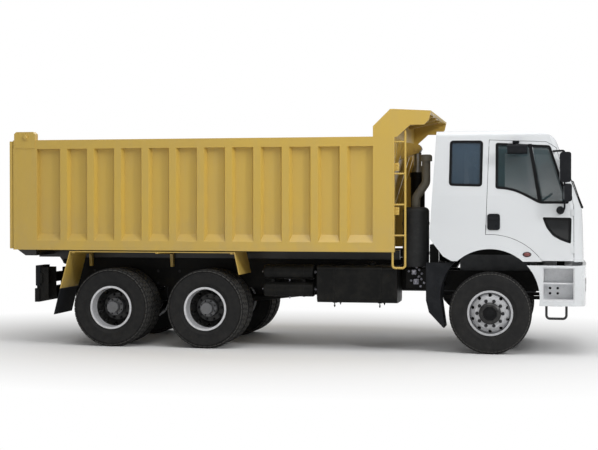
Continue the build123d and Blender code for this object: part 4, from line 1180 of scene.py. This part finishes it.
def makePad(kind, side):
    size, (x, z), lean, furthest, spacing = seatSet[kind]
    bm = roundBox(size, min(size) * 0.42, 4)
    bmesh.ops.recalc_face_normals(bm, faces=bm.faces[:])
    name = f"seat_{kind}_{side}"
    pad = addObject(name, toMesh(bm, kind))
    voxels = pad.modifiers.new("voxels", "REMESH")
    voxels.mode, voxels.voxel_size = "VOXEL", seatSet["voxel"]
    solid = bpy.data.meshes.new_from_object(pad.evaluated_get(bpy.context.evaluated_depsgraph_get()))
    pad.modifiers.clear()
    pad.data = solid
    solid.name = name
    swell(pad, furthest)
    if spacing:
        # sewn channels run the long way, pressed in after the remesh
        for vert in solid.vertices:
            gap = abs((vert.co.y + spacing / 2) % spacing - spacing / 2)
            inside = abs(vert.co.y) < size[1] * seatSet["grooveTo"]
            if gap < seatSet["grooveHalf"] and inside:
                vert.co -= vert.normal * seatSet["groove"] * (1 - gap / seatSet["grooveHalf"])
    turn = Matrix.Rotation(math.radians(lean), 4, "Y")
    solid.transform(put(x, sides[side] * seatSet["y"], z) @ turn)
    solid.materials.clear()
    solid.materials.append(cloth)
    solid.shade_smooth()
    finer = pad.modifiers.new("finer", "SUBSURF")
    finer.levels = finer.render_levels = 1
    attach(pad, "cab")


for sideName, side in sides.items():
    for kind in ("cushion", "back", "head"):
        makePad(kind, sideName)
    bm = bmesh.new()
    y = side * seatSet["y"]
    for z, wide in seatSet["folds"]:
        stamp(bm, roundBox((wide, wide + 0.06, 0.072), 0.022, 3), put(seatSet["baseX"], y, z))
    (xa, za), (xb, zb) = seatSet["stemEnds"]
    for step in seatSet["stems"]:
        stamp(bm, rod(at(xa, y + step, za), at(xb, y + step, zb), 0.006, 10, 1))
    base = finishPiece(bm, f"seat_base_{sideName}", [plastic, castGrey], "cab")
    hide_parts("seats")
print("seats ready")

# stage: pale floor, soft light, the photograph's camera
stageSet = {
    "floor": rgb(0.80, 0.80, 0.80),
    "cloud": rgb(0.76, 0.76, 0.76),
    "floorHalf": 90,
    # distances over which the floor fades to white, and how much longer the fade is along x
    "fade": (2.2, 5.5),
    "stretch": 2.2,
    "world": 0.44,
    "cameraAt": (6.006, -17.975, 1.947),
    "yaw": -0.197, "pitch": -0.015, "lens": 76.63, "farClip": 300,
    # name, power, size, place, aim
    "lamps": (
        ("overhead", 620, 9.0, (2.0, -4.0, 11.0), (0, 0, 1.2)),
        ("frontKey", 860, 2.4, (14.0, -9.5, 9.0), (0, 0, 1.5)),
        ("cameraFill", 90, 7.0, (6.0, -15.0, 6.0), (0, 0, 1.4)),
        ("backFill", 330, 8.0, (-3.0, 13.0, 7.0), (0, 0, 1.4)),
    ),
}


def pointAt(thing, place, way):
    thing.location = place
    thing.rotation_mode = "QUATERNION"
    thing.rotation_quaternion = way.to_track_quat("-Z", "Y")


def makeStage():
    bm = bmesh.new()
    bmesh.ops.create_grid(bm, x_segments=1, y_segments=1, size=stageSet["floorHalf"])
    floor = addObject("floor", toMesh(bm, "floor"))
    s = Shade("paleFloor")
    cloud = s.noise(0.4, 2, 0.5)
    s.done(Base_Color=s.mix(cloud * 0.06, stageSet["floor"], stageSet["cloud"]), Roughness=0.9)
    x, y = s.axis(0), s.axis(1)
    away = s.ramp((x * x / stageSet["stretch"] + y * y) ** 0.5, *stageSet["fade"])
    path = ("Is Camera Ray", "Is Glossy Ray", "Is Transmission Ray")
    camera, glossy, through = (s.node("ShaderNodeLightPath", out=name) for name in path)
    seen = s.clamp(camera + glossy + through)
    glow = s.node("ShaderNodeEmission", sockets={"Color": rgb(1, 1, 1), "Strength": 1.0})
    skin = Val(s, s.body.outputs[0])
    both = s.node("ShaderNodeMixShader", sockets={0: away * seen, 1: skin, 2: glow})
    clear = s.node("ShaderNodeBsdfTransparent")
    under = s.node("ShaderNodeNewGeometry", out="Backfacing")
    shown = s.node("ShaderNodeMixShader", sockets={0: under, 1: both, 2: clear})
    s.tree.links.new(shown.socket, s.tree.nodes["Material Output"].inputs["Surface"])
    floor.data.materials.append(s.mat)
    world = bpy.data.worlds.new("softWorld")
    bpy.context.scene.world = world
    world.use_nodes = True
    tree = world.node_tree
    sky = tree.nodes["Background"]
    sky.inputs["Color"].default_value = rgb(1, 1, 1)
    path = tree.nodes.new("ShaderNodeLightPath")
    lit = tree.nodes.new("ShaderNodeMapRange")
    lit.inputs["To Min"].default_value = stageSet["world"]
    lit.inputs["To Max"].default_value = 1.0
    tree.links.new(path.outputs["Is Camera Ray"], lit.inputs["Value"])
    tree.links.new(lit.outputs[0], sky.inputs["Strength"])
    for name, power, size, place, aim in stageSet["lamps"]:
        data = bpy.data.lights.new(name, "AREA")
        data.energy, data.size = power, size
        pointAt(addObject(name, data), Vector(place), Vector(aim) - Vector(place))
    data = bpy.data.cameras.new("photoCamera")
    data.lens, data.sensor_width = stageSet["lens"], 36
    data.clip_end = stageSet["farClip"]
    camera = addObject("photoCamera", data)
    yaw, pitch = stageSet["yaw"], stageSet["pitch"]
    look = Vector((math.sin(yaw) * math.cos(pitch), math.cos(yaw) * math.cos(pitch), math.sin(pitch)))
    pointAt(camera, at(*stageSet["cameraAt"]), look)
    bpy.context.scene.camera = camera
    bpy.context.scene.view_settings.view_transform = "Standard"


makeStage()
print("stage ready")

bpy.context.view_layer.update()
